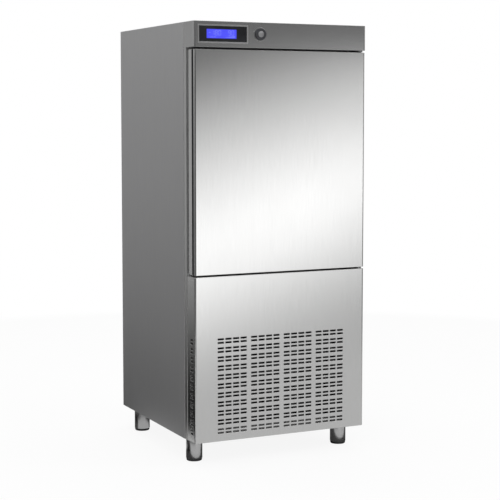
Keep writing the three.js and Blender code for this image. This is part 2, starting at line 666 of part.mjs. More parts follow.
// Push-and-turn selector: a spindle that slides in the encoder and the knob that turns it.
function selector() {
  const bore = SPINDLE_RADIUS + GAP;
  const knobBack = -GAP - KNOB_TRAVEL - GAP;
  const capBack = -KNOB_REACH + KNOB_CAP_THICKNESS;
  const spindleFront = capBack + KNOB_WEB + 2 * GAP;
  const spindle = rodBack(SPINDLE_RADIUS, spindleFront, SPINDLE_END - KNOB_TRAVEL - GAP, KNOB_X, KNOB_Z);
  const rim = -KNOB_REACH + KNOB_CAP_THICKNESS / 3;
  const recess = NUT_RADIUS + 1;
  const body = turnedBack(
    [
      [bore, spindleFront - GAP],
      [0, spindleFront - GAP],
      [0, capBack + GAP],
      [KNOB_CAP_RADIUS + GAP, capBack + GAP],
      [KNOB_CAP_RADIUS + GAP, rim],
      [KNOB_RADIUS - KNOB_SHOULDER, rim],
      [KNOB_RADIUS, rim + KNOB_SHOULDER],
      [KNOB_RADIUS, knobBack],
      [recess, knobBack],
      [recess, knobBack - NUT_THICKNESS - KNOB_TRAVEL],
      [bore, knobBack - NUT_THICKNESS - KNOB_TRAVEL],
    ],
    KNOB_X,
    KNOB_Z,
    24,
  );
  const flutes = Array.from({ length: KNOB_FLUTES }, (_, i) => {
    const angle = (i / KNOB_FLUTES) * 2 * Math.PI;
    const [x, z] = [KNOB_X + KNOB_RADIUS * Math.cos(angle), KNOB_Z + KNOB_RADIUS * Math.sin(angle)];
    return rodBack(KNOB_FLUTE_RADIUS, rim + KNOB_SHOULDER + 1, 0, x, z, 6);
  });
  const cap = rodBack(KNOB_CAP_RADIUS, -KNOB_REACH, capBack, KNOB_X, KNOB_Z, 24);
  return [
    piece("encoder_spindle", spindle, brushedSteel()),
    piece("knob", cut(body, ...flutes), blackPlastic()),
    piece("knob_cap", cap, brushedSteel()),
  ];
}

// Switchgear box over the chamber, welded to the sheet that closes the foam: a tray with an
// overlapping lid and cable entries.
function electricalBox() {
  const [width, depth, height] = [BOX_WIDTH, BOX_DEPTH, BOX_HEIGHT];
  const x0 = -width / 2;
  const y0 = INNER_FRONT + BOX_SETBACK;
  const z0 = DOOR_TOP + GAP;
  const z1 = z0 + SHEET + height;
  const lid = 12;
  const overlap = 3;
  const deck = box(-INNER_HALF, INNER_HALF, INNER_FRONT, INNER_BACK, z0, z0 + SHEET);
  const body = box(x0, x0 + width, y0, y0 + depth, z0, z1);
  const cover = box(x0 - overlap, x0 + width + overlap, y0 - overlap, y0 + depth + overlap, z1 - lid, z1);
  const entries = [0, 1, 2].map((i) => rodBack(10, y0 - 14, y0 + 1, x0 + 60 + i * 40, z0 + height / 2, 8));
  return piece("electrical_box", join(deck, body, cover, ...entries), galvanised());
}

function controlHead() {
  return group(controlFascia(), ...display(), controlBoard(), ...selector(), electricalBox());
}

// ---------------------------------------------------------------- door
const GRIP_INNER = -DOOR_HALF + GRIP_DEPTH;

function gripGroove(grown) {
  return box(
    -DOOR_HALF - 1,
    GRIP_INNER + grown,
    GRIP_FRONT - grown,
    GRIP_FRONT + GRIP_WIDTH + grown,
    DOOR_BOTTOM - 1,
    DOOR_TOP + 1,
  );
}

// The sockets for the two hinge bushes, grown by the clearance of what they are cut from.
function bushSockets(grown) {
  const reach = HINGE_PIN_LENGTH + 2;
  return [
    rod(BUSH_RADIUS + grown, DOOR_BOTTOM - 1, DOOR_BOTTOM + reach + grown, HINGE_X, HINGE_SETBACK, 16),
    rod(BUSH_RADIUS + grown, DOOR_TOP - reach - grown, DOOR_TOP + 1, HINGE_X, HINGE_SETBACK, 16),
  ];
}

// Outer skin: front, rounded edges, four returns and the grip recess folded into the free edge.
function doorSkin() {
  const outside = prism(frontOutline(DOOR_HALF, DOOR_THICKNESS, DOOR_EDGE_RADIUS, 0), DOOR_BOTTOM, DOOR_TOP);
  const filling = cut(
    prism(
      frontOutline(DOOR_HALF, DOOR_THICKNESS + 1, DOOR_EDGE_RADIUS, SHEET),
      DOOR_BOTTOM + SHEET,
      DOOR_TOP - SHEET,
    ),
    gripGroove(SHEET),
  );
  return piece("door_skin", cut(outside, gripGroove(0), filling, ...bushSockets(GAP)), brushedSteel());
}

// The raised middle of the inner panel: a block with a chamfer round its far face.
function plug(inset, depth, y0) {
  const half = CHAMBER_HALF - PLUG_SETBACK - inset;
  const [z0, z1] = [CHAMBER_BOTTOM + PLUG_SETBACK + inset, CHAMBER_TOP - PLUG_SETBACK - inset];
  const far = DOOR_THICKNESS + depth;
  const near = far - PLUG_CHAMFER;
  const section = (u0, u1) => [
    [y0, u0],
    [near, u0],
    [far, u0 + PLUG_CHAMFER],
    [far, u1 - PLUG_CHAMFER],
    [near, u1],
    [y0, u1],
  ];
  const upright = new THREE.Shape(section(z0, z1).map(([y, z]) => new THREE.Vector2(y, z)));
  const level = new THREE.Shape(section(-half, half).map(([y, x]) => new THREE.Vector2(x, y)));
  return rib(upright, -half, half).intersect(prism(level, z0, z1));
}

// Moulded inner panel, hollow behind its raised middle.
function doorInnerPanel() {
  const edge = SHEET + GAP;
  const back = DOOR_THICKNESS - LINING;
  const side = DOOR_HALF - edge;
  const flat = box(-side, side, back, DOOR_THICKNESS, DOOR_BOTTOM + edge, DOOR_TOP - edge);
  const panel = join(flat, plug(0, PLUG_HEIGHT, back));
  return piece("door_inner_panel", cut(panel, plug(LINING, PLUG_HEIGHT - LINING, back - 1)), greyPlastic());
}

function doorFoam() {
  const clear = SHEET + GAP;
  const block = prism(
    frontOutline(DOOR_HALF, DOOR_THICKNESS - LINING - GAP, DOOR_EDGE_RADIUS, clear),
    DOOR_BOTTOM + clear,
    DOOR_TOP - clear,
  );
  const boss = plug(LINING + GAP, PLUG_HEIGHT - LINING - GAP, DOOR_THICKNESS - LINING - 1);
  return piece("door_foam", cut(join(block, boss), gripGroove(clear), ...bushSockets(clear)), foam());
}

// Dark lining of the grip recess: a channel the height of the door.
function doorGrip() {
  const back = GRIP_FRONT + GRIP_WIDTH - GAP;
  const [z0, z1] = [DOOR_BOTTOM + SHEET, DOOR_TOP - SHEET];
  const channel = cut(
    box(-DOOR_HALF + SHEET, GRIP_INNER - GAP, GRIP_FRONT + GAP, back, z0, z1),
    box(
      -DOOR_HALF, GRIP_INNER - GAP - GRIP_LINING, GRIP_FRONT + GAP + GRIP_LINING, back - GRIP_LINING,
      z0 + GRIP_LINING, z1 - GRIP_LINING,
    ),
  );
  return piece("door_grip", channel, blackPlastic());
}

// Magnetic seal: a foot on the door, a narrower bellows and the head that meets the portal.
function doorSeal() {
  const ring = (outer, width, y0, y1) => {
    const shape = rectangle(-outer, outer, seatBottom + SEAL_HALF - outer, seatTop - SEAL_HALF + outer);
    const inner = outer - width;
    shape.holes = [rectangle(-inner, inner, seatBottom + SEAL_HALF - inner, seatTop - SEAL_HALF + inner)];
    return plate(shape, y0, y1);
  };
  const [seatBottom, seatTop] = [DOOR_BOTTOM + SEAL_INSET, DOOR_TOP - SEAL_INSET];
  const step = (SEAL_WIDTH - SEAL_BELLOWS) / 2;
  const [y0, y1] = [DOOR_THICKNESS + GAP, FRAME_FRONT - GAP];
  return piece(
    "door_seal",
    join(
      ring(SEAL_HALF, SEAL_WIDTH, y0, y0 + SEAL_FOOT),
      ring(SEAL_HALF - step, SEAL_BELLOWS, y0 + SEAL_FOOT / 2, y1 - SEAL_HEAD / 2),
      ring(SEAL_HALF, SEAL_WIDTH, y1 - SEAL_HEAD, y1),
    ),
    rubber(),
  );
}

// A flanged bush in the door. The lower one stands collar down; the upper one is its mirror.
function hingeBush(name, upper) {
  const collar = (upper ? DOOR_TOP_GAP : COVER_GAP) - HINGE_PLATE - 3 * GAP - HINGE_SEAT;
  const bore = HINGE_PIN_RADIUS + BUSH_CLEARANCE;
  const bush = turned([
    [bore, -GAP - collar],
    [BUSH_COLLAR_RADIUS, -GAP - collar],
    [BUSH_COLLAR_RADIUS, -GAP],
    [BUSH_RADIUS, -GAP],
    [BUSH_RADIUS, HINGE_PIN_LENGTH + 2],
    [bore, HINGE_PIN_LENGTH + 2],
  ]);
  const placed = upper ? bush.mirror([0, 0, 1]) : bush;
  return piece(name, placed, blackPlastic(), [HINGE_X, HINGE_SETBACK, upper ? DOOR_TOP : DOOR_BOTTOM]);
}

// Hinge bracket on the portal: a plate in the gap beyond the door with the pin that the bush turns
// on, and a leg screwed to the portal behind the cover or the head.
function hingeBracket(name, upper) {
  const gap = upper ? DOOR_TOP_GAP : COVER_GAP;
  const plateTop = -gap + HINGE_SEAT + HINGE_PLATE;
  const radius = HINGE_INSET;
  const outline = new THREE.Shape();
  outline.moveTo(radius, FRAME_FRONT - GAP - HINGE_SETBACK);
  outline.lineTo(-radius, FRAME_FRONT - GAP - HINGE_SETBACK);
  outline.absarc(0, 0, radius, Math.PI, 2 * Math.PI, false);
  const back = FRAME_FRONT - GAP - HINGE_SETBACK;
  const leg = box(
    -radius, radius - 2 * SHEET, back - HINGE_PLATE, back, plateTop - HINGE_PLATE - HINGE_FLANGE, plateTop,
  );
  const bracket = join(
    prism(outline, plateTop - HINGE_PLATE, plateTop, 8),
    rod(HINGE_PIN_RADIUS, plateTop - 1, HINGE_PIN_LENGTH),
    leg,
  );
  const placed = upper ? bracket.mirror([0, 0, 1]) : bracket;
  return piece(name, placed, brushedSteel(), [HINGE_X, HINGE_SETBACK, upper ? DOOR_TOP : DOOR_BOTTOM]);
}

function door() {
  return group(
    doorSkin(),
    doorInnerPanel(),
    doorFoam(),
    doorGrip(),
    doorSeal(),
    hingeBush("hinge_bush_lower", false),
    hingeBush("hinge_bush_upper", true),
  );
}

// ---------------------------------------------------------------- slotted cover
// Rows of slots, from the bottom row up, as the height of each slot's lower edge.
function slotRows() {
  const rows = [];
  for (let cluster = 0; cluster < CLUSTERS; cluster++) {
    for (let slot = 0; slot < SLOTS_PER_CLUSTER; slot++) {
      rows.push(GRILLE_BOTTOM + cluster * CLUSTER_PITCH + slot * SLOT_PITCH);
    }
  }
  return rows;
}

// Middles of the slot columns, left to right.
function slotColumns() {
  const columns = [];
  for (let bank = 0; bank < GROUPS; bank++) {
    for (let column = 0; column < COLUMNS_PER_GROUP; column++) {
      const bankX = (bank - (GROUPS - 1) / 2) * GROUP_PITCH;
      columns.push(bankX + (column - (COLUMNS_PER_GROUP - 1) / 2) * COLUMN_PITCH);
    }
  }
  return columns;
}

// The folded cover with every slot punched through: the field in front, one column in each side.
function lowerCover() {
  const half = SLOT_WIDTH / 2;
  const skin = frontSkin(DOOR_HALF, FRAME_FRONT - GAP, DOOR_EDGE_RADIUS, LEG_HEIGHT, COVER_TOP, FRONT_RETURN);
  const field = slotColumns().flatMap((x) =>
    slotRows().map((z) => box(x - half, x + half, -1, 2 * SHEET, z, z + SLOT_HEIGHT)),
  );
  const sides = [-1, 1].flatMap((side) =>
    slotRows().map((z) => {
      const [x0, x1] = [side * DOOR_HALF - 2 * SHEET, side * DOOR_HALF + 2 * SHEET];
      return box(x0, x1, SIDE_VENT_DEPTH - half, SIDE_VENT_DEPTH + half, z, z + SLOT_HEIGHT);
    }),
  );
  const punches = wasm.Manifold.compose([...field, ...sides]);
  return piece("lower_cover", skin.subtract(punches), brushedSteel());
}

// ---------------------------------------------------------------- fans
// A bladed rotor round the z axis, its hub from z = 0 up to hubHeight.
function rotor(radius, hubRadius, hubHeight, blades) {
  const pitch = THREE.MathUtils.degToRad(26);
  const root = hubRadius - 4;
  const chord = radius * 0.5;
  const blade = new THREE.Shape();
  blade.moveTo(root, -chord * 0.3);
  blade.lineTo(radius * 0.7, -chord * 0.55);
  blade.lineTo(radius * 0.92, -chord * 0.5);
  blade.lineTo(radius * 0.98, 0);
  blade.lineTo(radius * 0.9, chord * 0.4);
  blade.lineTo(root, chord * 0.3);
  const thickness = 2;
  const geometry = new THREE.ExtrudeGeometry(blade, { depth: thickness, bevelEnabled: false });
  geometry.translate(0, 0, -thickness / 2).rotateX(pitch).translate(0, 0, hubHeight / 2);
  const one = solid(geometry);
  const hub = turned([
    [0, 0],
    [hubRadius, 0],
    [hubRadius, hubHeight - 6],
    [hubRadius - 6, hubHeight],
    [0, hubHeight],
  ]);
  const bore = rod(FAN_SHAFT_RADIUS + GAP, -1, hubHeight - 6, 0, 0, 12);
  const set = Array.from({ length: blades }, (_, i) => one.rotate([0, 0, (i * 360) / blades]));
  return cut(join(hub, ...set), bore);
}

// Motor behind a rotor, on four arms whose ends reach forward to the sheet that carries it.
function fanMotor(radius, length, armReach, armForward, shaftForward) {
  const armWidth = 14;
  const armThickness = 3;
  const body = turned([
    [0, 0],
    [radius * 0.6, 0],
    [radius, 5],
    [radius, length - 8],
    [radius - 8, length],
    [0, length],
  ]);
  const shaft = rod(FAN_SHAFT_RADIUS, -shaftForward, 1, 0, 0, 12);
  const arms = [0, 1, 2, 3].map((i) => {
    const arm = box(radius - 6, armReach, -armWidth / 2, armWidth / 2, 6, 6 + armThickness);
    const armInside = armReach - armThickness;
    const end = box(armInside, armReach, -armWidth / 2, armWidth / 2, -armForward, 6 + armThickness);
    return join(arm, end).rotate([0, 0, 45 + i * 90]);
  });
  return join(body, shaft, ...arms);
}

// Turns a piece that was made round +Z so that its +Z points back, along +Y.
function facingBack(mesh, x, y, z) {
  mesh.rotation.x = -Math.PI / 2;
  mesh.position.set(x, y, z);
  return mesh;
}

// ---------------------------------------------------------------- chamber fittings
// Two posts against the wall and a stack of angle runners that the trays slide on.
function trayRack(name, side) {
  const wall = CHAMBER_HALF - GAP;
  const tip = TRAY_HALF - RUNNER_OVERLAP;
  const guard = TRAY_HALF + TRAY_GUARD;
  const y0 = FRAME_FRONT + RACK_SETBACK;
  const y1 = y0 + TRAY_DEPTH + 20;
  const z0 = CHAMBER_BOTTOM + GAP;
  const top = CHAMBER_BOTTOM + FIRST_RUNNER + (RUNNERS - 1) * RUNNER_PITCH + RUNNER_LIP + 10;
  const foot = wall - COVE_RADIUS; // the posts step in over the rounded corner of the liner
  const step = z0 + COVE_RADIUS;
  const posts = [y0 + 50, y1 - 50 - POST_SIZE].flatMap((y) => [
    box(wall - POST_SIZE, wall, y, y + POST_SIZE, step, top),
    box(foot - POST_SIZE, wall, y, y + POST_SIZE, step, step + POST_SIZE),
    box(foot - POST_SIZE, foot, y, y + POST_SIZE, z0, step + 1),
  ]);
  const runners = Array.from({ length: RUNNERS }, (_, i) => {
    const z = CHAMBER_BOTTOM + FIRST_RUNNER + i * RUNNER_PITCH;
    return join(
      box(tip, wall - POST_SIZE + 1, y0, y1, z, z + RUNNER_SHEET),
      box(guard, guard + RUNNER_SHEET, y0, y1, z, z + RUNNER_LIP),
    );
  });
  const rack = join(...posts, ...runners);
  return piece(name, side < 0 ? rack.mirror([1, 0, 0]) : rack, brushedSteel());
}

const FAN_HEIGHTS = [
  ["lower", CHAMBER_MIDDLE - FAN_SPREAD],
  ["upper", CHAMBER_MIDDLE + FAN_SPREAD],
];
const FAN_OPENING = EVAPORATOR_FAN_RADIUS + 6;

// Cowl that stands off the back wall and carries both fans; the air returns through its sides.
function fanCowl() {
  const [z0, z1] = [CHAMBER_BOTTOM + COWL_END_GAP, CHAMBER_TOP - COWL_END_GAP];
  const back = CHAMBER_BACK - GAP;
  const inside = COWL_HALF - COWL_SHEET;
  const folded = cut(
    box(-COWL_HALF, COWL_HALF, COWL_FRONT, back, z0, z1),
    box(-inside, inside, COWL_FRONT + COWL_SHEET, back + 1, z0 - 1, z1 + 1),
  );
  const openings = FAN_HEIGHTS.map(([, z]) =>
    rodBack(FAN_OPENING, COWL_FRONT - 1, COWL_FRONT + 2 * COWL_SHEET, 0, z, 32),
  );
  const slotHeight = (z1 - z0) / (COWL_SLOTS * 1.3);
  const slots = Array.from({ length: COWL_SLOTS }, (_, i) => {
    const z = z0 + ((i + 0.5) * (z1 - z0)) / COWL_SLOTS;
    const [y0, y1] = [COWL_FRONT + COWL_DEPTH * 0.35, COWL_FRONT + COWL_DEPTH * 0.55];
    return box(-COWL_HALF - 1, COWL_HALF + 1, y0, y1, z - slotHeight / 2, z + slotHeight / 2);
  });
  return piece("fan_cowl", cut(folded, ...openings, ...slots), brushedSteel());
}

// Flat guard in front of each fan: rings of gaps between four spokes.
function fanGuard(name, z) {
  const thickness = 3;
  const rim = FAN_OPENING + 14;
  const hub = 28;
  const rings = 3;
  const spoke = 5;
  const bar = 6;
  const rimPoints = 28;
  const disc = new THREE.Shape(
    Array.from({ length: rimPoints }, (_, i) => {
      const angle = (i / rimPoints) * 2 * Math.PI;
      return new THREE.Vector2(rim * Math.cos(angle), rim * Math.sin(angle));
    }),
  );
  const pitch = (FAN_OPENING - hub) / rings;
  for (let ring = 0; ring < rings; ring++) {
    const [inner, outer] = [hub + ring * pitch + bar, hub + (ring + 1) * pitch];
    for (let quarter = 0; quarter < 4; quarter++) {
      const start = (quarter * Math.PI) / 2;
      const [outerTurn, innerTurn] = [Math.asin(spoke / outer), Math.asin(spoke / inner)];
      const gap = new THREE.Path();
      gap.absarc(0, 0, outer, start + outerTurn, start + Math.PI / 2 - outerTurn, false);
      gap.absarc(0, 0, inner, start + Math.PI / 2 - innerTurn, start + innerTurn, true);
      disc.holes.push(gap);
    }
  }
  const guard = plate(disc, -thickness, 0);
  return piece(name, guard, brushedSteel(), [0, COWL_FRONT - GAP, z]);
}

// A finned block with grooves running up the face that the air enters.
function finnedCoil(width, thickness, height) {
  const groove = 6;
  const fins = Math.floor(width / FIN_PITCH);
  const first = -((fins - 1) * FIN_PITCH) / 2;
  const points = [];
  for (let i = 0; i < fins; i++) {
    const x = first + i * FIN_PITCH;
    points.push([x - FIN_PITCH / 4, 0], [x - FIN_PITCH / 4, groove]);
    points.push([x + FIN_PITCH / 4, groove], [x + FIN_PITCH / 4, 0]);
  }
  const back = [[width / 2, thickness], [-width / 2, thickness]];
  const outline = [[-width / 2, 0], ...points, [width / 2, 0], ...back];
  return prism(new THREE.Shape(outline.map(([x, y]) => new THREE.Vector2(x, y))), 0, height);
}

function evaporator() {
  const width = 2 * (COWL_HALF - COWL_SHEET - GAP - TUBE_PLATE);
  const [z0, z1] = [CHAMBER_BOTTOM + EVAPORATOR_END_GAP, CHAMBER_TOP - EVAPORATOR_END_GAP];
  const y1 = CHAMBER_BACK - GAP;
  const y0 = y1 - EVAPORATOR_THICKNESS;
  const block = finnedCoil(width, EVAPORATOR_THICKNESS - 6, z1 - z0).translate([0, y0, z0]);
  const plates = [-1, 1].map((side) => {
    const [x0, x1] = [side * (width / 2) - TUBE_PLATE, side * (width / 2) + TUBE_PLATE];
    return box(x0, x1, y0 - 4, y1, z0 - 4, z1 + 4);
  });
  return piece("evaporator_coil", join(block, ...plates), aluminium());
}

function evaporatorFans() {
  const rotorFront = COWL_FRONT + COWL_SHEET + FAN_RUNNING_GAP;
  const motorFront = rotorFront + EVAPORATOR_HUB_HEIGHT + FAN_RUNNING_GAP;
  const motor = fanMotor(
    38, 48, FAN_OPENING + 12, motorFront - COWL_FRONT - COWL_SHEET - GAP, FAN_RUNNING_GAP + EVAPORATOR_HUB_HEIGHT - 8,
  );
  const blades = rotor(EVAPORATOR_FAN_RADIUS, EVAPORATOR_HUB, EVAPORATOR_HUB_HEIGHT, 5);
  return FAN_HEIGHTS.flatMap(([place, z]) => [
    fanGuard(`fan_guard_${place}`, z),
    facingBack(piece(`evaporator_fan_${place}`, blades.mirror([0, 0, 1]).translate([0, 0, EVAPORATOR_HUB_HEIGHT]),
      greyPlastic()), 0, rotorFront, z),
    facingBack(piece(`evaporator_motor_${place}`, motor, blackEnamel()), 0, motorFront, z),
  ]);
}

function chamberFittings() {
  return group(
    trayRack("tray_rack_left", -1),
    trayRack("tray_rack_right", 1),
    fanCowl(),
    evaporator(),
    ...evaporatorFans(),
  );
}

// ---------------------------------------------------------------- refrigeration unit

function condenser() {
  const [y0, y1] = [CONDENSER_FRONT, CONDENSER_FRONT + CONDENSER_THICKNESS];
  const [z0, z1] = [CONDENSER_Z - CONDENSER_HEIGHT / 2, CONDENSER_Z + CONDENSER_HEIGHT / 2];
  const block = finnedCoil(CONDENSER_WIDTH, CONDENSER_THICKNESS, CONDENSER_HEIGHT);
  const plates = [-1, 1].map((side) => {
    const middle = side * (CONDENSER_WIDTH / 2);
    return box(middle - TUBE_PLATE, middle + TUBE_PLATE, y0, y1, PAN_FLOOR + GAP, z1 + 4);
  });
  const bends = [80, 180, 280].map((rise) => {
    const [x, y, z] = [-CONDENSER_WIDTH / 2, (y0 + y1) / 2, z0 + rise];
    const bend = [[x + 4, y, z], [x - 12, y, z + 2], [x - 20, y, z + 20], [x - 12, y, z + 38], [x + 4, y, z + 40]];
    return pipe(bend, RETURN_BEND_RADIUS, 6, 6);
  });
  return piece("condenser_coil", join(block.translate([0, y0, z0]), ...plates, ...bends), aluminium());
}

// Box behind the condenser that draws its air to the round opening of the fan.
function condenserShroud() {
  const half = CONDENSER_WIDTH / 2 + TUBE_PLATE;
  const [z0, z1] = [CONDENSER_Z - CONDENSER_HEIGHT / 2, CONDENSER_Z + CONDENSER_HEIGHT / 2];
  const [y0, y1] = [SHROUD_FRONT, SHROUD_FRONT + SHROUD_DEPTH];
  const opening = CONDENSER_FAN_RADIUS + 6;
  const lip = 16;
  const pan = cut(
    box(-half, half, y0, y1, z0, z1),
    box(-half + SHEET, half - SHEET, y0 - 1, y1 - SHEET, z0 + SHEET, z1 - SHEET),
  );
  const collar = rodBack(opening + SHEET, y1 - SHEET, y1 + lip, 0, CONDENSER_Z, 32);
  const hole = rodBack(opening, y0, y1 + lip + 1, 0, CONDENSER_Z, 32);
  return piece("condenser_shroud", cut(join(pan, collar), hole), galvanised());
}

function condenserFan() {
  const hubHeight = CONDENSER_HUB_HEIGHT;
  const rotorFront = SHROUD_FRONT + SHROUD_DEPTH - 10;
  const motorFront = rotorFront + hubHeight + FAN_RUNNING_GAP;
  const armForward = motorFront - SHROUD_FRONT - SHROUD_DEPTH - GAP;
  const motor = fanMotor(45, 76, CONDENSER_FAN_RADIUS + 20, armForward, FAN_RUNNING_GAP + hubHeight - 8);
  const blades = rotor(CONDENSER_FAN_RADIUS, CONDENSER_HUB, hubHeight, CONDENSER_FAN_BLADES)
    .mirror([0, 0, 1])
    .translate([0, 0, hubHeight]);
  return [
    facingBack(piece("condenser_fan", blades, aluminium()), 0, rotorFront, CONDENSER_Z),
    facingBack(piece("condenser_motor", motor, blackEnamel()), 0, motorFront, CONDENSER_Z),
  ];
}

// Hermetic compressor: a welded shell with domed ends, its terminal cover and a plate to stand on.
function compressor() {
  const r = COMPRESSOR_RADIUS;
  const h = COMPRESSOR_HEIGHT;
  const shell = turned([
    [0, 0],
    [r * 0.7, 0],
    [r * 0.93, h * 0.08],
    [r, h * 0.2],
    [r, h * 0.52],
    [r * 1.04, h * 0.54],
    [r * 1.04, h * 0.57],
    [r, h * 0.59],
    [r, h * 0.78],
    [r * 0.88, h * 0.91],
    [r * 0.5, h * 0.98],
    [0, h],
  ], 0, 0, 20);
  const terminals = box(-34, 34, r - 10, r + 34, h * 0.25, h * 0.25 + 84);
  const footing = box(-r * 0.9, r * 0.9, -r * 0.9, r * 0.9, 0, 4);
  return piece(
    "compressor",
    join(shell, terminals, footing),
    blackEnamel(),
    [COMPRESSOR_AT.x, COMPRESSOR_AT.y, PAN_FLOOR + GAP + MOUNT_HEIGHT + GAP],
  );
}

// Frame of two rails and two ties under the compressor's plate, with a rubber buffer at each corner.
function compressorMount() {
  const reach = COMPRESSOR_RADIUS * 0.9;
  const railWidth = MOUNT_RAIL;
  const z0 = PAN_FLOOR + GAP;
  const { x, y } = COMPRESSOR_AT;
  const sides = [-1, 1];
  const rails = sides.map((side) => {
    const middle = x + side * (reach - railWidth / 2);
    return box(middle - railWidth / 2, middle + railWidth / 2, y - reach, y + reach, z0, z0 + 3);
  });
  const ties = sides.map((end) => {
    const middle = y + end * (reach - railWidth / 2);
    return box(x - reach, x + reach, middle - railWidth / 2, middle + railWidth / 2, z0, z0 + 3);
  });
  const buffers = sides.flatMap((side) =>
    sides.map((end) =>
      turned(
        [[0, z0], [13, z0], [9, z0 + MOUNT_HEIGHT / 2], [13, z0 + MOUNT_HEIGHT], [0, z0 + MOUNT_HEIGHT]],
        x + side * (reach - railWidth / 2),
        y + end * (reach - railWidth / 2),
        8,
      ),
    ),
  );
  return piece("compressor_mount", join(...rails, ...ties, ...buffers), rubber());
}

function receiver() {
  const r = RECEIVER_RADIUS;
  const h = RECEIVER_HEIGHT;
  const foot = 14;
  const vessel = turned([
    [0, foot],
    [r * 0.8, foot],
    [r * 0.8, 0],
    [r * 0.9, 0],
    [r, foot + 16],
    [r, h - 24],
    [r * 0.75, h - 6],
    [r * 0.2, h],
    [r * 0.2, h + RECEIVER_NECK],
    [0, h + RECEIVER_NECK],
  ]);
  return piece("liquid_receiver", vessel, blackEnamel(), [RECEIVER_AT.x, RECEIVER_AT.y, PAN_FLOOR + GAP]);
}

const DRIER_BOTTOM = PAN_FLOOR + GAP + RECEIVER_HEIGHT + RECEIVER_NECK + GAP;

function filterDrier() {
  const r = DRIER_RADIUS;
  const drier = turned([
    [0, 0],
    [PIPE_RADIUS + 2, 0],
    [PIPE_RADIUS + 2, 14],
    [r, 30],
    [r, DRIER_HEIGHT - 30],
    [PIPE_RADIUS + 2, DRIER_HEIGHT - 14],
    [PIPE_RADIUS + 2, DRIER_HEIGHT],
    [0, DRIER_HEIGHT],
  ], 0, 0, 16);
  return piece("filter_drier", drier, copper(), [RECEIVER_AT.x, RECEIVER_AT.y, DRIER_BOTTOM]);
}

// The copper circuit, each length ending 0.3 mm short of what it is brazed to.
function pipework() {
  const coilEnd = -CONDENSER_WIDTH / 2 - TUBE_PLATE - GAP;
  const condenserTop = CONDENSER_Z + CONDENSER_HEIGHT / 2 - 24;
  const condenserFoot = CONDENSER_Z - CONDENSER_HEIGHT / 2 + 24;
  const coilY = CONDENSER_FRONT + CONDENSER_THICKNESS / 2;
  const shellTop = PAN_FLOOR + 2 * GAP + MOUNT_HEIGHT + COMPRESSOR_HEIGHT;
  const coilRight = CONDENSER_WIDTH / 2 + TUBE_PLATE + GAP;
  const evaporatorFoot = CHAMBER_BOTTOM + EVAPORATOR_END_GAP - 4 - GAP;
  const [liquid, suction] = RISERS;
  const { x: cx, y: cy } = COMPRESSOR_AT;
  return [
    piece("discharge_pipe", pipe([
      [cx, cy, shellTop + GAP],
      [cx, cy, shellTop + 60],
      [cx + 70, cy - 20, shellTop + 110],
      [cx + 160, cy - 160, shellTop + 100],
      [cx + 165, coilY + 60, condenserTop + 6],
      [cx + 150, coilY, condenserTop],
      [coilRight, coilY, condenserTop],
    ], PIPE_RADIUS), copper()),
    piece("condenser_outlet_pipe", pipe([
      [coilEnd, coilY, condenserFoot],
      [coilEnd - 40, coilY, condenserFoot],
      [coilEnd - 55, coilY + 60, condenserFoot + 10],
      [coilEnd - 55, RECEIVER_AT.y - 60, condenserFoot + 60],
      [coilEnd - 35, RECEIVER_AT.y, condenserFoot + 70],
      [RECEIVER_AT.x - RECEIVER_RADIUS - GAP, RECEIVER_AT.y, condenserFoot + 70],
    ], PIPE_RADIUS), copper()),
    piece("liquid_pipe", pipe([
      [RECEIVER_AT.x, RECEIVER_AT.y, DRIER_BOTTOM + DRIER_HEIGHT + GAP],
      [RECEIVER_AT.x, RECEIVER_AT.y, DRIER_BOTTOM + DRIER_HEIGHT + 50],
      [RECEIVER_AT.x - 30, RECEIVER_AT.y + 80, DOOR_BOTTOM - 130],
      [liquid.x, liquid.y - 40, DOOR_BOTTOM - 100],
      [liquid.x, liquid.y, DOOR_BOTTOM - 60],
      [liquid.x, liquid.y, DOOR_BOTTOM - 25],
      [liquid.x, liquid.y, CHAMBER_BOTTOM - 30],
      [liquid.x, liquid.y, evaporatorFoot],
    ], liquid.radius), copper()),
    piece("suction_pipe", pipe([
      [suction.x, suction.y, evaporatorFoot],
      [suction.x, suction.y, CHAMBER_BOTTOM - 30],
      [suction.x, suction.y, DOOR_BOTTOM - 25],
      [suction.x, suction.y, DOOR_BOTTOM - 60],
      [suction.x + 60, suction.y - 10, DOOR_BOTTOM - 150],
      [cx - 150, cy + 60, PAN_FLOOR + 330],
      [cx - 140, cy, PAN_FLOOR + 180],
      [cx - COMPRESSOR_RADIUS - 20, cy, PAN_FLOOR + 150],
      [cx - COMPRESSOR_RADIUS - GAP, cy, PAN_FLOOR + 150],
    ], suction.radius, 18), copper()),
  ];
}

function condensateTray() {
  const x0 = TRAY_FROM_SIDE - HALF_WIDTH;
  const x1 = x0 + TRAY_LENGTH;
  const y1 = DEPTH - TRAY_FROM_BACK;
  const y0 = y1 - TRAY_BREADTH;
  const z0 = PAN_FLOOR + GAP;
  return piece(
    "condensate_tray",
    cut(
      box(x0, x1, y0, y1, z0, z0 + TRAY_HEIGHT),
      box(x0 + SHEET, x1 - SHEET, y0 + SHEET, y1 - SHEET, z0 + SHEET, z0 + TRAY_HEIGHT + 1),
    ),
    brushedSteel(),
  );
}

// Cable gland for the mains lead, screwed through the base pan near the back.
function powerInlet() {
  const [thread, wrench] = [GLAND_THREAD, GLAND_WRENCH];
  const under = LEG_HEIGHT - GAP;
  const bore = thread * 0.55;
  const gland = turned([
    [bore, under - 24],
    [thread, under - 24],
    [wrench - 2, under - 18],
    [wrench - 2, under - 7],
    [wrench, under - 7],
    [wrench, under],
    [thread, under],
    [thread, PAN_FLOOR + 12],
    [bore, PAN_FLOOR + 12],
  ], 0, 0, 12);
  return piece("power_inlet", gland, blackPlastic(), [INLET.x, INLET.y, 0]);
}

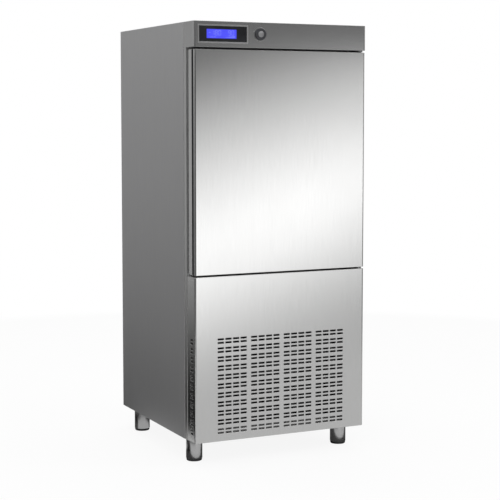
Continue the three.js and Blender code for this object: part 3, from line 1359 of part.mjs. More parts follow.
function refrigerationUnit() {
  return group(
    condenser(),
    condenserShroud(),
    ...condenserFan(),
    compressor(),
    compressorMount(),
    receiver(),
    filterDrier(),
    ...pipework(),
    condensateTray(),
    powerInlet(),
  );
}

// ---------------------------------------------------------------- the machine
const product = group(
  cabinet(),
  legs(),
  controlHead(),
  hingeBracket("hinge_bracket_lower", false),
  hingeBracket("hinge_bracket_upper", true),
  door(),
  lowerCover(),
  chamberFittings(),
  refrigerationUnit(),
);
product.position.y = FRONT_Y;

export default group(product);
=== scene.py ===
"""Visual model of an upright blast chiller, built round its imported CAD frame."""

import json
import logging
import math
from dataclasses import dataclass
from enum import Enum
from typing import Iterable, Optional, Sequence

import bmesh
import bpy
from mathutils import Matrix, Vector

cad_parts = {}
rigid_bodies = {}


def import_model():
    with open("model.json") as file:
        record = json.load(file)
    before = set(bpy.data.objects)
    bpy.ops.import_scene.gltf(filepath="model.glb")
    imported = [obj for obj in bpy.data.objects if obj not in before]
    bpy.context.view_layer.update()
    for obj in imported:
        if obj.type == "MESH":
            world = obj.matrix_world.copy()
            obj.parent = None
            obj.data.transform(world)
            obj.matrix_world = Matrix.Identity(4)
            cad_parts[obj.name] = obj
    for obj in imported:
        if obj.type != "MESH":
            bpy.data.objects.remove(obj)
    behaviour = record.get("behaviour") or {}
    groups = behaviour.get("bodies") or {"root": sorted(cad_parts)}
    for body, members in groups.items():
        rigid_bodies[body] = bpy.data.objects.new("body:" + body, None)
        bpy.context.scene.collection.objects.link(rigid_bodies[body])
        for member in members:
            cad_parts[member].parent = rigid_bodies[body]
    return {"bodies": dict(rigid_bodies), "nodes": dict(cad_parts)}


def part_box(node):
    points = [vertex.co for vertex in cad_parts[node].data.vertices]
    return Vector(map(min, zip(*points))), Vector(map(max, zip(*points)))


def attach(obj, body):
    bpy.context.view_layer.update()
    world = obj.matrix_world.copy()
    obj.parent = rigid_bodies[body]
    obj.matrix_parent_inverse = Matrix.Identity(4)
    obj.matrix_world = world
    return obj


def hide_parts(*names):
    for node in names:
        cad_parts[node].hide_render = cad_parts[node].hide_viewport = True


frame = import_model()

log = logging.getLogger("blast_chiller")

Colour = tuple[float, float, float]
Point = tuple[float, float, float]
Profile = Sequence[tuple[float, float]]
Socket = bpy.types.NodeSocket

UP = Vector((0, 0, 1))
FORWARD = Vector((0, -1, 0))


def shade(colour: Colour, factor: float, lift: float = 0.0, limit: float = 1.0) -> Colour:
    """Makes a colour lighter or darker."""
    return tuple(min(c * factor + lift, limit) for c in colour)


# ------------------------------------------------------------------ shader graphs


class Graph:
    """Adds nodes to one node tree and joins their sockets."""

    def __init__(self, tree: bpy.types.NodeTree) -> None:
        """Keeps the tree that the nodes go into."""
        self.tree = tree

    @classmethod
    def blank(cls, owner: bpy.types.ID) -> "Graph":
        """Empties the nodes of a material or world.

        Args:
            owner: The material or world.

        Returns:
            Its graph.
        """
        owner.use_nodes = True
        owner.node_tree.nodes.clear()
        return cls(owner.node_tree)

    def add(self, kind: str, inputs: Optional[dict] = None, **settings: object) -> bpy.types.Node:
        """Adds one node.

        Args:
            kind: The node's type name, without its ShaderNode prefix.
            inputs: Socket names or places, each with a value or with the socket that feeds it.
            settings: Properties of the node itself.

        Returns:
            The new node.
        """
        prefix = "" if kind.startswith("NodeGroup") else "ShaderNode"
        node = self.tree.nodes.new(prefix + kind)
        for key, value in settings.items():
            setattr(node, key, value)
        for key, value in (inputs or {}).items():
            self.feed(node.inputs[key], value)
        return node

    def feed(self, socket: Socket, value: object) -> None:
        """Links a socket into another, or sets the other's own value.

        Args:
            socket: The input to feed.
            value: A socket or a plain value.
        """
        if isinstance(value, Socket):
            self.tree.links.new(value, socket)
        else:
            socket.default_value = value

    def maths(self, operation: str, first: object, second: object, clamp: bool = False) -> Socket:
        """Adds a Math node."""
        node = self.add("Math", {0: first, 1: second}, operation=operation, use_clamp=clamp)
        return node.outputs[0]

    def times(self, first: object, second: object, clamp: bool = False) -> Socket:
        """Multiplies two values."""
        return self.maths("MULTIPLY", first, second, clamp)

    def larger(self, first: object, second: object) -> Socket:
        """Takes the larger of two values."""
        return self.maths("MAXIMUM", first, second)

    def place(self) -> Socket:
        """Gives the place on the surface, in the object's own metres."""
        return self.add("TexCoord").outputs["Object"]

    def dot(self, first: object, second: object) -> Socket:
        """Measures how far one vector reaches along another."""
        node = self.add("VectorMath", {0: first, 1: second}, operation="DOT_PRODUCT")
        return node.outputs["Value"]

    def spread(
        self, value: object, low: float, high: float, to_low: float = 0.0, to_high: float = 1.0
    ) -> Socket:
        """Maps one range of values on to another and clamps the result.

        Args:
            value: The value to map.
            low: Start of its range.
            high: End of its range.
            to_low: What the start becomes.
            to_high: What the end becomes.

        Returns:
            The mapped value.
        """
        inputs = {"Value": value, "From Min": low, "From Max": high}
        inputs |= {"To Min": to_low, "To Max": to_high}
        return self.add("MapRange", inputs).outputs["Result"]

    def blend(self, amount: object, first: object, second: object) -> Socket:
        """Mixes two colours.

        Args:
            amount: 0 for the first, 1 for the second.
            first: A colour or a colour socket.
            second: A colour or a colour socket.

        Returns:
            The mixed colour.
        """
        node = self.add("Mix", {0: amount}, data_type="RGBA")
        for place, value in ((6, first), (7, second)):
            self.feed(node.inputs[place], (*value, 1.0) if isinstance(value, tuple) else value)
        return node.outputs[2]

    def noise(
        self, vector: object, scale: object, detail: float = 3.0, roughness: object = 0.55
    ) -> Socket:
        """Adds a noise texture."""
        inputs = {"Vector": vector, "Scale": scale, "Detail": detail, "Roughness": roughness}
        return self.add("TexNoise", inputs).outputs[0]

    def bump(self, strength: object, depth: object, height: object, normal: object) -> Socket:
        """Adds a bump over a normal."""
        inputs = {"Strength": strength, "Distance": depth, "Height": height, "Normal": normal}
        return self.add("Bump", inputs).outputs[0]

    def coat(self, shader: bpy.types.Node, colour: Socket, normal: Socket) -> None:
        """Feeds a shader's base colour and normal."""
        self.feed(shader.inputs["Base Color"], colour)
        self.feed(shader.inputs["Normal"], normal)


class Effect:
    """A shader node group that several finishes share, built on its first use.

    Attributes:
        name: The group's name.
        inputs: Its number inputs with their usual values.
        outputs: Its outputs with their socket types.
    """

    name = "effect"
    inputs: dict[str, float] = {}
    outputs: dict[str, str] = {}

    @classmethod
    def group(cls) -> bpy.types.NodeTree:
        """Finds the group or builds it.

        Returns:
            The node group.
        """
        found = bpy.data.node_groups.get(cls.name)
        if found is not None:
            return found
        tree = bpy.data.node_groups.new(cls.name, "ShaderNodeTree")
        for name, value in cls.inputs.items():
            socket = tree.interface.new_socket(name, in_out="INPUT", socket_type="NodeSocketFloat")
            socket.default_value = value
        for name, kind in cls.outputs.items():
            tree.interface.new_socket(name, in_out="OUTPUT", socket_type=kind)
        graph = Graph(tree)
        results = cls.wire(graph, graph.add("NodeGroupInput").outputs)
        last = graph.add("NodeGroupOutput")
        for name, socket in results.items():
            graph.feed(last.inputs[name], socket)
        return tree

    @classmethod
    def wire(cls, graph: Graph, given: bpy.types.NodeOutputs) -> dict[str, Socket]:
        """Builds the inside of the group and gives the socket behind each output."""
        raise NotImplementedError

    @classmethod
    def use(cls, graph: Graph, **values: object) -> bpy.types.NodeOutputs:
        """Places the group in a material.

        Args:
            graph: The material's graph.
            values: Values for the group's inputs, with underscores for spaces.

        Returns:
            The outputs of the placed group.
        """
        node = graph.add("Group", node_tree=cls.group())
        for name, value in values.items():
            graph.feed(node.inputs[name.replace("_", " ").capitalize()], value)
        return node.outputs


class EdgeWear(Effect):
    """Rounded edges, and a broken mask along them where hands and tools rub."""

    name = "edge wear"
    inputs = {"Radius": 0.002, "Breakup": 60.0, "Amount": 1.0}
    outputs = {"Mask": "NodeSocketFloat", "Normal": "NodeSocketVector"}

    @classmethod
    def wire(cls, graph: Graph, given: bpy.types.NodeOutputs) -> dict[str, Socket]:
        """Compares the rounded normal with the face's own.

        Args:
            graph: The group's graph.
            given: The group's inputs.

        Returns:
            The socket behind each output.
        """
        rounded = graph.add("Bevel", {"Radius": given["Radius"]}, samples=4).outputs[0]
        true = graph.add("NewGeometry").outputs["Normal"]
        bend = graph.spread(graph.dot(rounded, true), 0.995, 0.80)
        patches = graph.noise(graph.place(), given["Breakup"], 4.0)
        broken = graph.spread(patches, 0.35, 0.65, 0.25, 1.0)
        mask = graph.times(graph.times(bend, broken), given["Amount"], clamp=True)
        return {"Mask": mask, "Normal": rounded}


class PaintedGapShade(Effect):
    """Painted shade in gaps, folds and inner corners, where little sky reaches, broken up by noise.
    """

    name = "grime in gaps"
    inputs = {"Reach": 0.03, "Amount": 0.85}
    outputs = {"Mask": "NodeSocketFloat"}

    @classmethod
    def wire(cls, graph: Graph, given: bpy.types.NodeOutputs) -> dict[str, Socket]:
        """Finds the places that little sky reaches.

        Args:
            graph: The group's graph.
            given: The group's inputs.

        Returns:
            The socket behind each output.
        """
        sky = graph.add("AmbientOcclusion", {"Distance": given["Reach"]}, samples=6).outputs["AO"]
        closed = graph.spread(sky, 0.42, 0.12)
        patches = graph.spread(graph.noise(graph.place(), 40.0), 0.3, 0.7, 0.8, 1.0)
        return {"Mask": graph.times(graph.times(closed, patches), given["Amount"])}


class BrushedGrain(Effect):
    """Long fine scratches along one axis: a streak value and the height of the scratches."""

    name = "brushed grain"
    inputs = {"Along x": 0.0, "Along y": 0.0, "Along z": 1.0, "Fineness": 700.0, "Stretch": 60.0}
    outputs = {"Streaks": "NodeSocketFloat", "Bands": "NodeSocketFloat"}

    @classmethod
    def wire(cls, graph: Graph, given: bpy.types.NodeOutputs) -> dict[str, Socket]:
        """Squeezes noise across the grain.

        Args:
            graph: The group's graph.
            given: The group's inputs.

        Returns:
            The socket behind each output.
        """
        slow = graph.maths("DIVIDE", given["Fineness"], given["Stretch"])
        scales = {}
        for place, axis in enumerate("xyz"):
            inputs = {0: given[f"Along {axis}"], 2: given["Fineness"], 3: slow}
            scales[place] = graph.add("Mix", inputs, data_type="FLOAT").outputs[0]
        stretch = graph.add("CombineXYZ", scales).outputs[0]
        inputs = {0: graph.place(), 1: stretch}
        fine = graph.add("VectorMath", inputs, operation="MULTIPLY").outputs[0]
        broad = graph.add("VectorMath", {0: fine, "Scale": 0.07}, operation="SCALE").outputs[0]
        streaks = graph.noise(fine, 1.0, 2.0, 0.7)
        return {"Streaks": streaks, "Bands": graph.noise(broad, 1.0, 3.0, 0.6)}


class Smudges(Effect):
    """Soft clouds where a wiped surface is a little duller, with a finer speckle in them."""

    name = "smudges"
    inputs = {"Scale": 3.0, "Sharpness": 0.5}
    outputs = {"Mask": "NodeSocketFloat", "Speckle": "NodeSocketFloat"}

    @classmethod
    def wire(cls, graph: Graph, given: bpy.types.NodeOutputs) -> dict[str, Socket]:
        """Layers two noises.

        Args:
            graph: The group's graph.
            given: The group's inputs.

        Returns:
            The socket behind each output.
        """
        place = graph.place()
        cloud = graph.noise(place, given["Scale"], 5.0, given["Sharpness"])
        speckle = graph.noise(place, graph.times(given["Scale"], 60.0), 2.0)
        return {"Mask": graph.spread(cloud, 0.38, 0.66), "Speckle": speckle}


class FineGrain(Effect):
    """The bump of a moulded, cast or painted surface over its rounded edges."""

    name = "fine grain"
    inputs = {"Scale": 900.0, "Strength": 0.15, "Depth": 0.0002, "Radius": 0.001}
    outputs = {"Normal": "NodeSocketVector", "Height": "NodeSocketFloat"}

    @classmethod
    def wire(cls, graph: Graph, given: bpy.types.NodeOutputs) -> dict[str, Socket]:
        """Bumps a noise over the rounded normal.

        Args:
            graph: The group's graph.
            given: The group's inputs.

        Returns:
            The socket behind each output.
        """
        height = graph.noise(graph.place(), given["Scale"])
        rounded = graph.add("Bevel", {"Radius": given["Radius"]}, samples=4).outputs[0]
        normal = graph.bump(given["Strength"], given["Depth"], height, rounded)
        return {"Normal": normal, "Height": height}


class SettledDust(Effect):
    """Dust on faces that look up, thicker in patches."""

    name = "settled dust"
    inputs = {"Amount": 0.4, "Scale": 14.0}
    outputs = {"Mask": "NodeSocketFloat"}

    @classmethod
    def wire(cls, graph: Graph, given: bpy.types.NodeOutputs) -> dict[str, Socket]:
        """Masks noise by the face's slope.

        Args:
            graph: The group's graph.
            given: The group's inputs.

        Returns:
            The socket behind each output.
        """
        normal = graph.add("NewGeometry").outputs["Normal"]
        slope = graph.spread(graph.add("SeparateXYZ", {0: normal}).outputs["Z"], 0.3, 0.95)
        patches = graph.spread(graph.noise(graph.place(), given["Scale"], 4.0), 0.3, 0.7, 0.2, 1.0)
        return {"Mask": graph.times(graph.times(slope, patches), given["Amount"])}


class Spangle(Effect):
    """The crystal patches of hot-dip galvanised sheet."""

    name = "zinc spangle"
    inputs = {"Scale": 70.0}
    outputs = {"Shade": "NodeSocketFloat"}

    @classmethod
    def wire(cls, graph: Graph, given: bpy.types.NodeOutputs) -> dict[str, Socket]:
        """Takes one shade per crystal cell.

        Args:
            graph: The group's graph.
            given: The group's inputs.

        Returns:
            The socket behind each output.
        """
        inputs = {"Vector": graph.place(), "Scale": given["Scale"]}
        cells = graph.add("TexVoronoi", inputs).outputs["Color"]
        return {"Shade": graph.add("RGBToBW", {0: cells}).outputs[0]}


# ------------------------------------------------------------------ finishes


class Grain(Enum):
    """The axis that a sheet was brushed along."""

    ACROSS = (1.0, 0.0, 0.0)
    BACK = (0.0, 1.0, 0.0)
    UPRIGHT = (0.0, 0.0, 1.0)


@dataclass(frozen=True)
class Finish:
    """A surface's colour and gloss. Each kind of surface wires its own grain and wear.

    Attributes:
        name: The finish's own name.
        colour: Linear base colour.
        roughness: Mean roughness.
    """

    name: str
    colour: Colour
    roughness: float

    def material(self) -> bpy.types.Material:
        """Finds the finish's material or builds it.

        Returns:
            The material.
        """
        name = f"finish_{self.name}"
        found = bpy.data.materials.get(name)
        if found is not None:
            return found
        made = bpy.data.materials.new(name)
        graph = Graph.blank(made)
        inputs = {"Base Color": (*self.colour, 1.0), "Roughness": self.roughness}
        shader = graph.add("BsdfPrincipled", inputs)
        self.wire(graph, shader)
        graph.add("OutputMaterial", {"Surface": shader.outputs[0]})
        return made

    def wire(self, graph: Graph, shader: bpy.types.Node) -> None:
        """Joins grain, wear and bump to the shader."""
        raise NotImplementedError

    def rough(self, graph: Graph, shader: bpy.types.Node, mask: object, change: float) -> None:
        """Lets a mask raise or lower the roughness."""
        value = graph.spread(mask, 0.0, 1.0, self.roughness, max(self.roughness + change, 0.02))
        graph.feed(shader.inputs["Roughness"], value)


@dataclass(frozen=True)
class BrushedSteel(Finish):
    """Stainless sheet with a brushed face.

    Attributes:
        grain: The axis it is brushed along.
        fineness: Scratches per metre across the grain.
        contrast: How much the streaks change the colour.
        edge: Radius of the rounded edges.
        crevice: Width of the gaps that get painted shade.
    """

    grain: Grain = Grain.UPRIGHT
    fineness: float = 700.0
    contrast: float = 0.05
    edge: float = 0.0015
    crevice: float = 0.03

    def wire(self, graph: Graph, shader: bpy.types.Node) -> None:
        """Streaks, smudges, bright edges and painted shade in gaps.

        Args:
            graph: The material's graph.
            shader: Its Principled shader.
        """
        x, y, z = self.grain.value
        grain = BrushedGrain.use(graph, along_x=x, along_y=y, along_z=z, fineness=self.fineness)
        smudges = Smudges.use(graph, scale=2.2)
        wear = EdgeWear.use(graph, radius=self.edge, breakup=45.0)
        dark = shade(self.colour, 1.0 - self.contrast)
        light = shade(self.colour, 1.0 + self.contrast)
        streaked = graph.blend(graph.spread(grain["Streaks"], 0.3, 0.7), dark, light)
        banded = graph.blend(graph.spread(grain["Bands"], 0.25, 0.75, 0.0, 0.35), streaked, light)
        wiped = graph.blend(graph.times(smudges["Mask"], 0.25), banded, dark)
        rubbed = graph.blend(wear["Mask"], wiped, shade(self.colour, 1.12, limit=0.95))
        # Painted shade in gaps and folds: the colour goes near black, the metal turns non-metallic
        # and the roughness rises.
        gap_shade = PaintedGapShade.use(graph, reach=self.crevice)["Mask"]
        graph.feed(shader.inputs["Metallic"], graph.spread(gap_shade, 0.0, 1.0, 1.0, 0.0))
        uneven = graph.times(graph.maths("ADD", smudges["Mask"], grain["Streaks"]), 0.03)
        dulled = graph.maths("ADD", uneven, graph.times(gap_shade, 0.5))
        graph.feed(shader.inputs["Roughness"], graph.maths("ADD", dulled, self.roughness))
        normal = graph.bump(0.06, 0.0004, grain["Streaks"], wear["Normal"])
        # The gap mask blends the colour to near black: painted shade.
        graph.coat(shader, graph.blend(gap_shade, rubbed, (0.03, 0.03, 0.03)), normal)


@dataclass(frozen=True)
class Galvanised(Finish):
    """Zinc-coated sheet with faint spangles and some dust."""

    def wire(self, graph: Graph, shader: bpy.types.Node) -> None:
        """Spangle, dust and scuffed edges.

        Args:
            graph: The material's graph.
            shader: Its Principled shader.
        """
        shader.inputs["Metallic"].default_value = 0.85
        crystals = Spangle.use(graph, scale=75.0)["Shade"]
        dust = SettledDust.use(graph, amount=0.35)["Mask"]
        wear = EdgeWear.use(graph, radius=0.0012, breakup=80.0)
        zinc = graph.blend(crystals, shade(self.colour, 0.86), shade(self.colour, 1.1))
        edged = graph.blend(wear["Mask"], zinc, (0.72, 0.73, 0.74))
        self.rough(graph, shader, graph.larger(crystals, dust), 0.16)
        dusted = graph.blend(dust, edged, (0.42, 0.40, 0.37))
        graph.coat(shader, dusted, graph.bump(0.08, 0.0003, crystals, wear["Normal"]))


@dataclass(frozen=True)
class Enamel(Finish):
    """Baked paint with orange peel, dust and chipped edges.

    Attributes:
        chipped: Colour of the metal under the chips.
    """

    chipped: Colour = (0.30, 0.30, 0.31)

    def wire(self, graph: Graph, shader: bpy.types.Node) -> None:
        """Orange peel, chips and dust.

        Args:
            graph: The material's graph.
            shader: Its Principled shader.
        """
        wear = EdgeWear.use(graph, radius=0.0015, breakup=160.0, amount=0.7)
        dust = SettledDust.use(graph, amount=0.5)["Mask"]
        grain = FineGrain.use(graph, scale=420.0, strength=0.2, depth=0.0003, radius=0.0015)
        chips = graph.blend(wear["Mask"], self.colour, self.chipped)
        self.rough(graph, shader, graph.larger(dust, grain["Height"]), 0.25)
        graph.coat(shader, graph.blend(dust, chips, (0.36, 0.34, 0.31)), grain["Normal"])


@dataclass(frozen=True)
class Moulded(Finish):
    """Moulded plastic with a spark-eroded grain and edges polished by use.

    Attributes:
        grain: Grains per metre.
        depth: Depth of the grain.
    """

    grain: float = 1500.0
    depth: float = 0.0002

    def wire(self, graph: Graph, shader: bpy.types.Node) -> None:
        """Grain, handling marks and polished edges.

        Args:
            graph: The material's graph.
            shader: Its Principled shader.
        """
        edge = 0.0008
        marks = Smudges.use(graph, scale=9.0)
        wear = EdgeWear.use(graph, radius=edge, breakup=120.0, amount=0.6)
        grain = FineGrain.use(graph, scale=self.grain, strength=0.25, depth=self.depth, radius=edge)
        mottled = graph.blend(marks["Mask"], self.colour, shade(self.colour, 0.85))
        rubbed = graph.blend(wear["Mask"], mottled, shade(self.colour, 1.5, 0.02))
        self.rough(graph, shader, marks["Speckle"], 0.16)
        graph.coat(shader, rubbed, grain["Normal"])


@dataclass(frozen=True)
class SoftRubber(Finish):
    """Extruded or moulded rubber with a bloom of talc in its low places."""

    def wire(self, graph: Graph, shader: bpy.types.Node) -> None:
        """Bloom and fine pitting.

        Args:
            graph: The material's graph.
            shader: Its Principled shader.
        """
        marks = Smudges.use(graph, scale=22.0, sharpness=0.65)
        grain = FineGrain.use(graph, scale=1100.0, strength=0.35, depth=0.0003, radius=0.0012)
        bloom = shade(self.colour, 1.9, 0.015)
        dusted = graph.blend(graph.times(marks["Mask"], 0.5), self.colour, bloom)
        self.rough(graph, shader, marks["Speckle"], 0.12)
        graph.coat(shader, dusted, grain["Normal"])


@dataclass(frozen=True)
class CastFoam(Finish):
    """Foamed polyurethane with its skin of closed cells."""

    def wire(self, graph: Graph, shader: bpy.types.Node) -> None:
        """Cells and yellowed patches.

        Args:
            graph: The material's graph.
            shader: Its Principled shader.
        """
        inputs = {"Vector": graph.place(), "Scale": 420.0}
        cells = graph.add("TexVoronoi", inputs).outputs["Distance"]
        marks = Smudges.use(graph, scale=7.0)
        aged = tuple(c * f for c, f in zip(self.colour, (0.82, 0.74, 0.58)))
        self.rough(graph, shader, cells, 0.08)
        grain = FineGrain.use(graph, scale=300.0, strength=0.2, depth=0.0006, radius=0.001)
        mottled = graph.blend(marks["Mask"], self.colour, aged)
        graph.coat(shader, mottled, graph.bump(0.5, 0.0008, cells, grain["Normal"]))


@dataclass(frozen=True)
class DrawnCopper(Finish):
    """Copper tube, darker where it was heated or handled."""

    def wire(self, graph: Graph, shader: bpy.types.Node) -> None:
        """Tarnish and drawing marks.

        Args:
            graph: The material's graph.
            shader: Its Principled shader.
        """
        shader.inputs["Metallic"].default_value = 1.0
        tarnish = Smudges.use(graph, scale=16.0, sharpness=0.7)
        grain = FineGrain.use(graph, scale=700.0, strength=0.15, depth=0.0002, radius=0.0008)
        brown = tuple(c * f for c, f in zip(self.colour, (0.42, 0.36, 0.36)))
        self.rough(graph, shader, tarnish["Mask"], 0.25)
        graph.coat(shader, graph.blend(tarnish["Mask"], self.colour, brown), grain["Normal"])


@dataclass(frozen=True)
class DarkGlass(Finish):
    """A polished black window with the faintest wipe marks."""

    def wire(self, graph: Graph, shader: bpy.types.Node) -> None:
        """Wipe marks under a clear coat.

        Args:
            graph: The material's graph.
            shader: Its Principled shader.
        """
        shader.inputs["Coat Weight"].default_value = 0.5
        shader.inputs["Coat Roughness"].default_value = 0.04
        marks = Smudges.use(graph, scale=14.0)
        wear = EdgeWear.use(graph, radius=0.0006, breakup=200.0, amount=0.5)
        faded = shade(self.colour, 1.8, 0.004)
        wiped = graph.blend(graph.times(marks["Mask"], 0.6), self.colour, faded)
        edged = graph.blend(wear["Mask"], wiped, (0.10, 0.10, 0.11))
        self.rough(graph, shader, marks["Mask"], 0.06)
        grain = FineGrain.use(graph, scale=60.0, strength=0.02, depth=0.0002, radius=0.0006)
        graph.coat(shader, edged, grain["Normal"])


@dataclass(frozen=True)
class Backlit(Finish):
    """A lit panel or figure of the display.

    Attributes:
        strength: Strength of its own light.
    """

    strength: float = 0.7

    def wire(self, graph: Graph, shader: bpy.types.Node) -> None:
        """An uneven glow behind a fine raster.

        Args:
            graph: The material's graph.
            shader: Its Principled shader.
        """
        shader.inputs["Emission Strength"].default_value = self.strength
        marks = Smudges.use(graph, scale=12.0)
        inputs = {"Vector": graph.place(), "Scale": 900.0, "Distortion": 0.0}
        raster = graph.add("TexWave", inputs, bands_direction="X").outputs["Fac"]
        glow = graph.blend(marks["Mask"], self.colour, shade(self.colour, 0.82))
        lined = graph.blend(graph.spread(raster, 0.0, 1.0, 0.0, 0.15), glow, (0.0, 0.0, 0.0))
        graph.feed(shader.inputs["Emission Color"], lined)
        self.rough(graph, shader, marks["Speckle"], 0.1)
        grain = FineGrain.use(graph, scale=1200.0, strength=0.05, depth=0.0001, radius=0.0003)
        graph.coat(shader, lined, grain["Normal"])


@dataclass(frozen=True)
class CircuitBoard(Finish):
    """Solder resist over copper tracks."""

    def wire(self, graph: Graph, shader: bpy.types.Node) -> None:
        """Tracks as blocky cells.

        Args:
            graph: The material's graph.
            shader: Its Principled shader.
        """
        inputs = {"Vector": graph.place(), "Scale": 160.0}
        cells = graph.add("TexVoronoi", inputs, distance="CHEBYCHEV", feature="F1")
        tracks = graph.spread(cells.outputs["Distance"], 0.40, 0.46)
        copper = shade(self.colour, 2.2, 0.01)
        self.rough(graph, shader, tracks, 0.15)
        grain = FineGrain.use(graph, scale=900.0, strength=0.1, depth=0.0002, radius=0.0005)
        tracked = graph.blend(tracks, self.colour, copper)
        graph.coat(shader, tracked, graph.bump(0.4, 0.0001, tracks, grain["Normal"]))


# crevice sets how far the painted shade in gaps reaches.
DOOR_STEEL = BrushedSteel("door_steel", (0.74, 0.74, 0.735), 0.15, Grain.UPRIGHT, crevice=0.08)
HEAD_STEEL = BrushedSteel("head_steel", (0.60, 0.60, 0.60), 0.17, Grain.ACROSS, crevice=0.08)
COVER_STEEL = BrushedSteel(
    "cover_steel", (0.74, 0.74, 0.735), 0.15, Grain.UPRIGHT, edge=0.003, crevice=0.08
)
SIDE_STEEL = BrushedSteel("side_steel", (0.59, 0.59, 0.595), 0.56, Grain.UPRIGHT, contrast=0.04)
TOP_STEEL = BrushedSteel("top_steel", (0.56, 0.56, 0.56), 0.32, Grain.BACK)
FRAME_STEEL = BrushedSteel("frame_steel", (0.66, 0.66, 0.655), 0.30, Grain.UPRIGHT, crevice=0.16)
LINER_STEEL = BrushedSteel("liner_steel", (0.80, 0.80, 0.80), 0.36, Grain.BACK, fineness=500.0)
COWL_STEEL = BrushedSteel("cowl_steel", (0.78, 0.78, 0.78), 0.36, Grain.UPRIGHT)
RACK_STEEL = BrushedSteel("rack_steel", (0.80, 0.80, 0.80), 0.28, Grain.BACK, edge=0.0008)
LEG_STEEL = BrushedSteel("leg_steel", (0.62, 0.62, 0.62), 0.24, Grain.ACROSS, fineness=900.0)
WIRE_STEEL = BrushedSteel("wire_steel", (0.70, 0.70, 0.70), 0.18, Grain.ACROSS, edge=0.0005)
HINGE_STEEL = BrushedSteel("hinge_steel", (0.58, 0.58, 0.58), 0.34, Grain.BACK)
CAP_STEEL = BrushedSteel(
    "cap_steel", (0.46, 0.46, 0.47), 0.34, Grain.ACROSS, fineness=2400.0, edge=0.0005
)
SCREW_STEEL = BrushedSteel(
    "screw_steel", (0.60, 0.60, 0.60), 0.28, Grain.ACROSS, fineness=2000.0, edge=0.0004
)
BEZEL_STEEL = BrushedSteel("bezel_steel", (0.62, 0.62, 0.62), 0.28, Grain.ACROSS, edge=0.0006)
TRAY_STEEL = BrushedSteel("tray_steel", (0.60, 0.60, 0.60), 0.30, Grain.ACROSS)
# Near-black condenser fins: painted shade, so that the slots of the lower cover look dark.
SHADE_BLACK_FINS = Enamel("shade_black_fins", (0.030, 0.031, 0.034), 0.55)
FIN_METAL = BrushedSteel(
    "fin_metal", (0.72, 0.73, 0.74), 0.38, Grain.UPRIGHT, fineness=300.0, edge=0.0003
)
BLADE_METAL = BrushedSteel("blade_metal", (0.68, 0.69, 0.70), 0.36, Grain.ACROSS, fineness=300.0)
ZINC = Galvanised("zinc_sheet", (0.56, 0.58, 0.59), 0.42)
PAN_ZINC = Galvanised("pan_zinc", (0.20, 0.205, 0.21), 0.55)
BLACK_ENAMEL = Enamel("black_enamel", (0.022, 0.023, 0.026), 0.32)
MOTOR_ENAMEL = Enamel("motor_enamel", (0.035, 0.036, 0.040), 0.40)
BLACK_PLASTIC = Moulded("black_plastic", (0.022, 0.022, 0.024), 0.42)
GRIP_PLASTIC = Moulded("grip_plastic", (0.030, 0.030, 0.033), 0.50)
KNOB_PLASTIC = Moulded("knob_plastic", (0.030, 0.031, 0.036), 0.36, grain=2500.0)
PANEL_PLASTIC = Moulded("panel_plastic", (0.60, 0.61, 0.61), 0.45, grain=900.0)
FAN_PLASTIC = Moulded("fan_plastic", (0.16, 0.165, 0.17), 0.45)
SEAL_RUBBER = SoftRubber("seal_rubber", (0.028, 0.028, 0.030), 0.62)
FOOT_RUBBER = SoftRubber("foot_rubber", (0.020, 0.020, 0.021), 0.66)
FOAM = CastFoam("foam", (0.75, 0.66, 0.38), 0.85)
COPPER = DrawnCopper("copper", (0.80, 0.42, 0.27), 0.28)
WINDOW_GLASS = DarkGlass("window_glass", (0.010, 0.010, 0.012), 0.07)
LCD_BLUE = Backlit("lcd_blue", (0.045, 0.050, 0.66), 0.30, strength=0.75)
LCD_FIGURE = Backlit("lcd_figure", (0.16, 0.18, 0.86), 0.35, strength=0.8)
BOARD = CircuitBoard("circuit_board", (0.012, 0.10, 0.045), 0.40)


class Slot(Enum):
    """Material slot names, listed for the kinds of added piece."""

    STEEL = "brushed_steel"
    PLASTIC = "black_plastic"
    FAN_PLASTIC = "grey_plastic"
    RUBBER = "rubber"
    FINS = "aluminium_fins"
    COPPER = "copper"
    ENAMEL = "black_enamel"
    DISPLAY = "lcd"


# ------------------------------------------------------------------ geometry


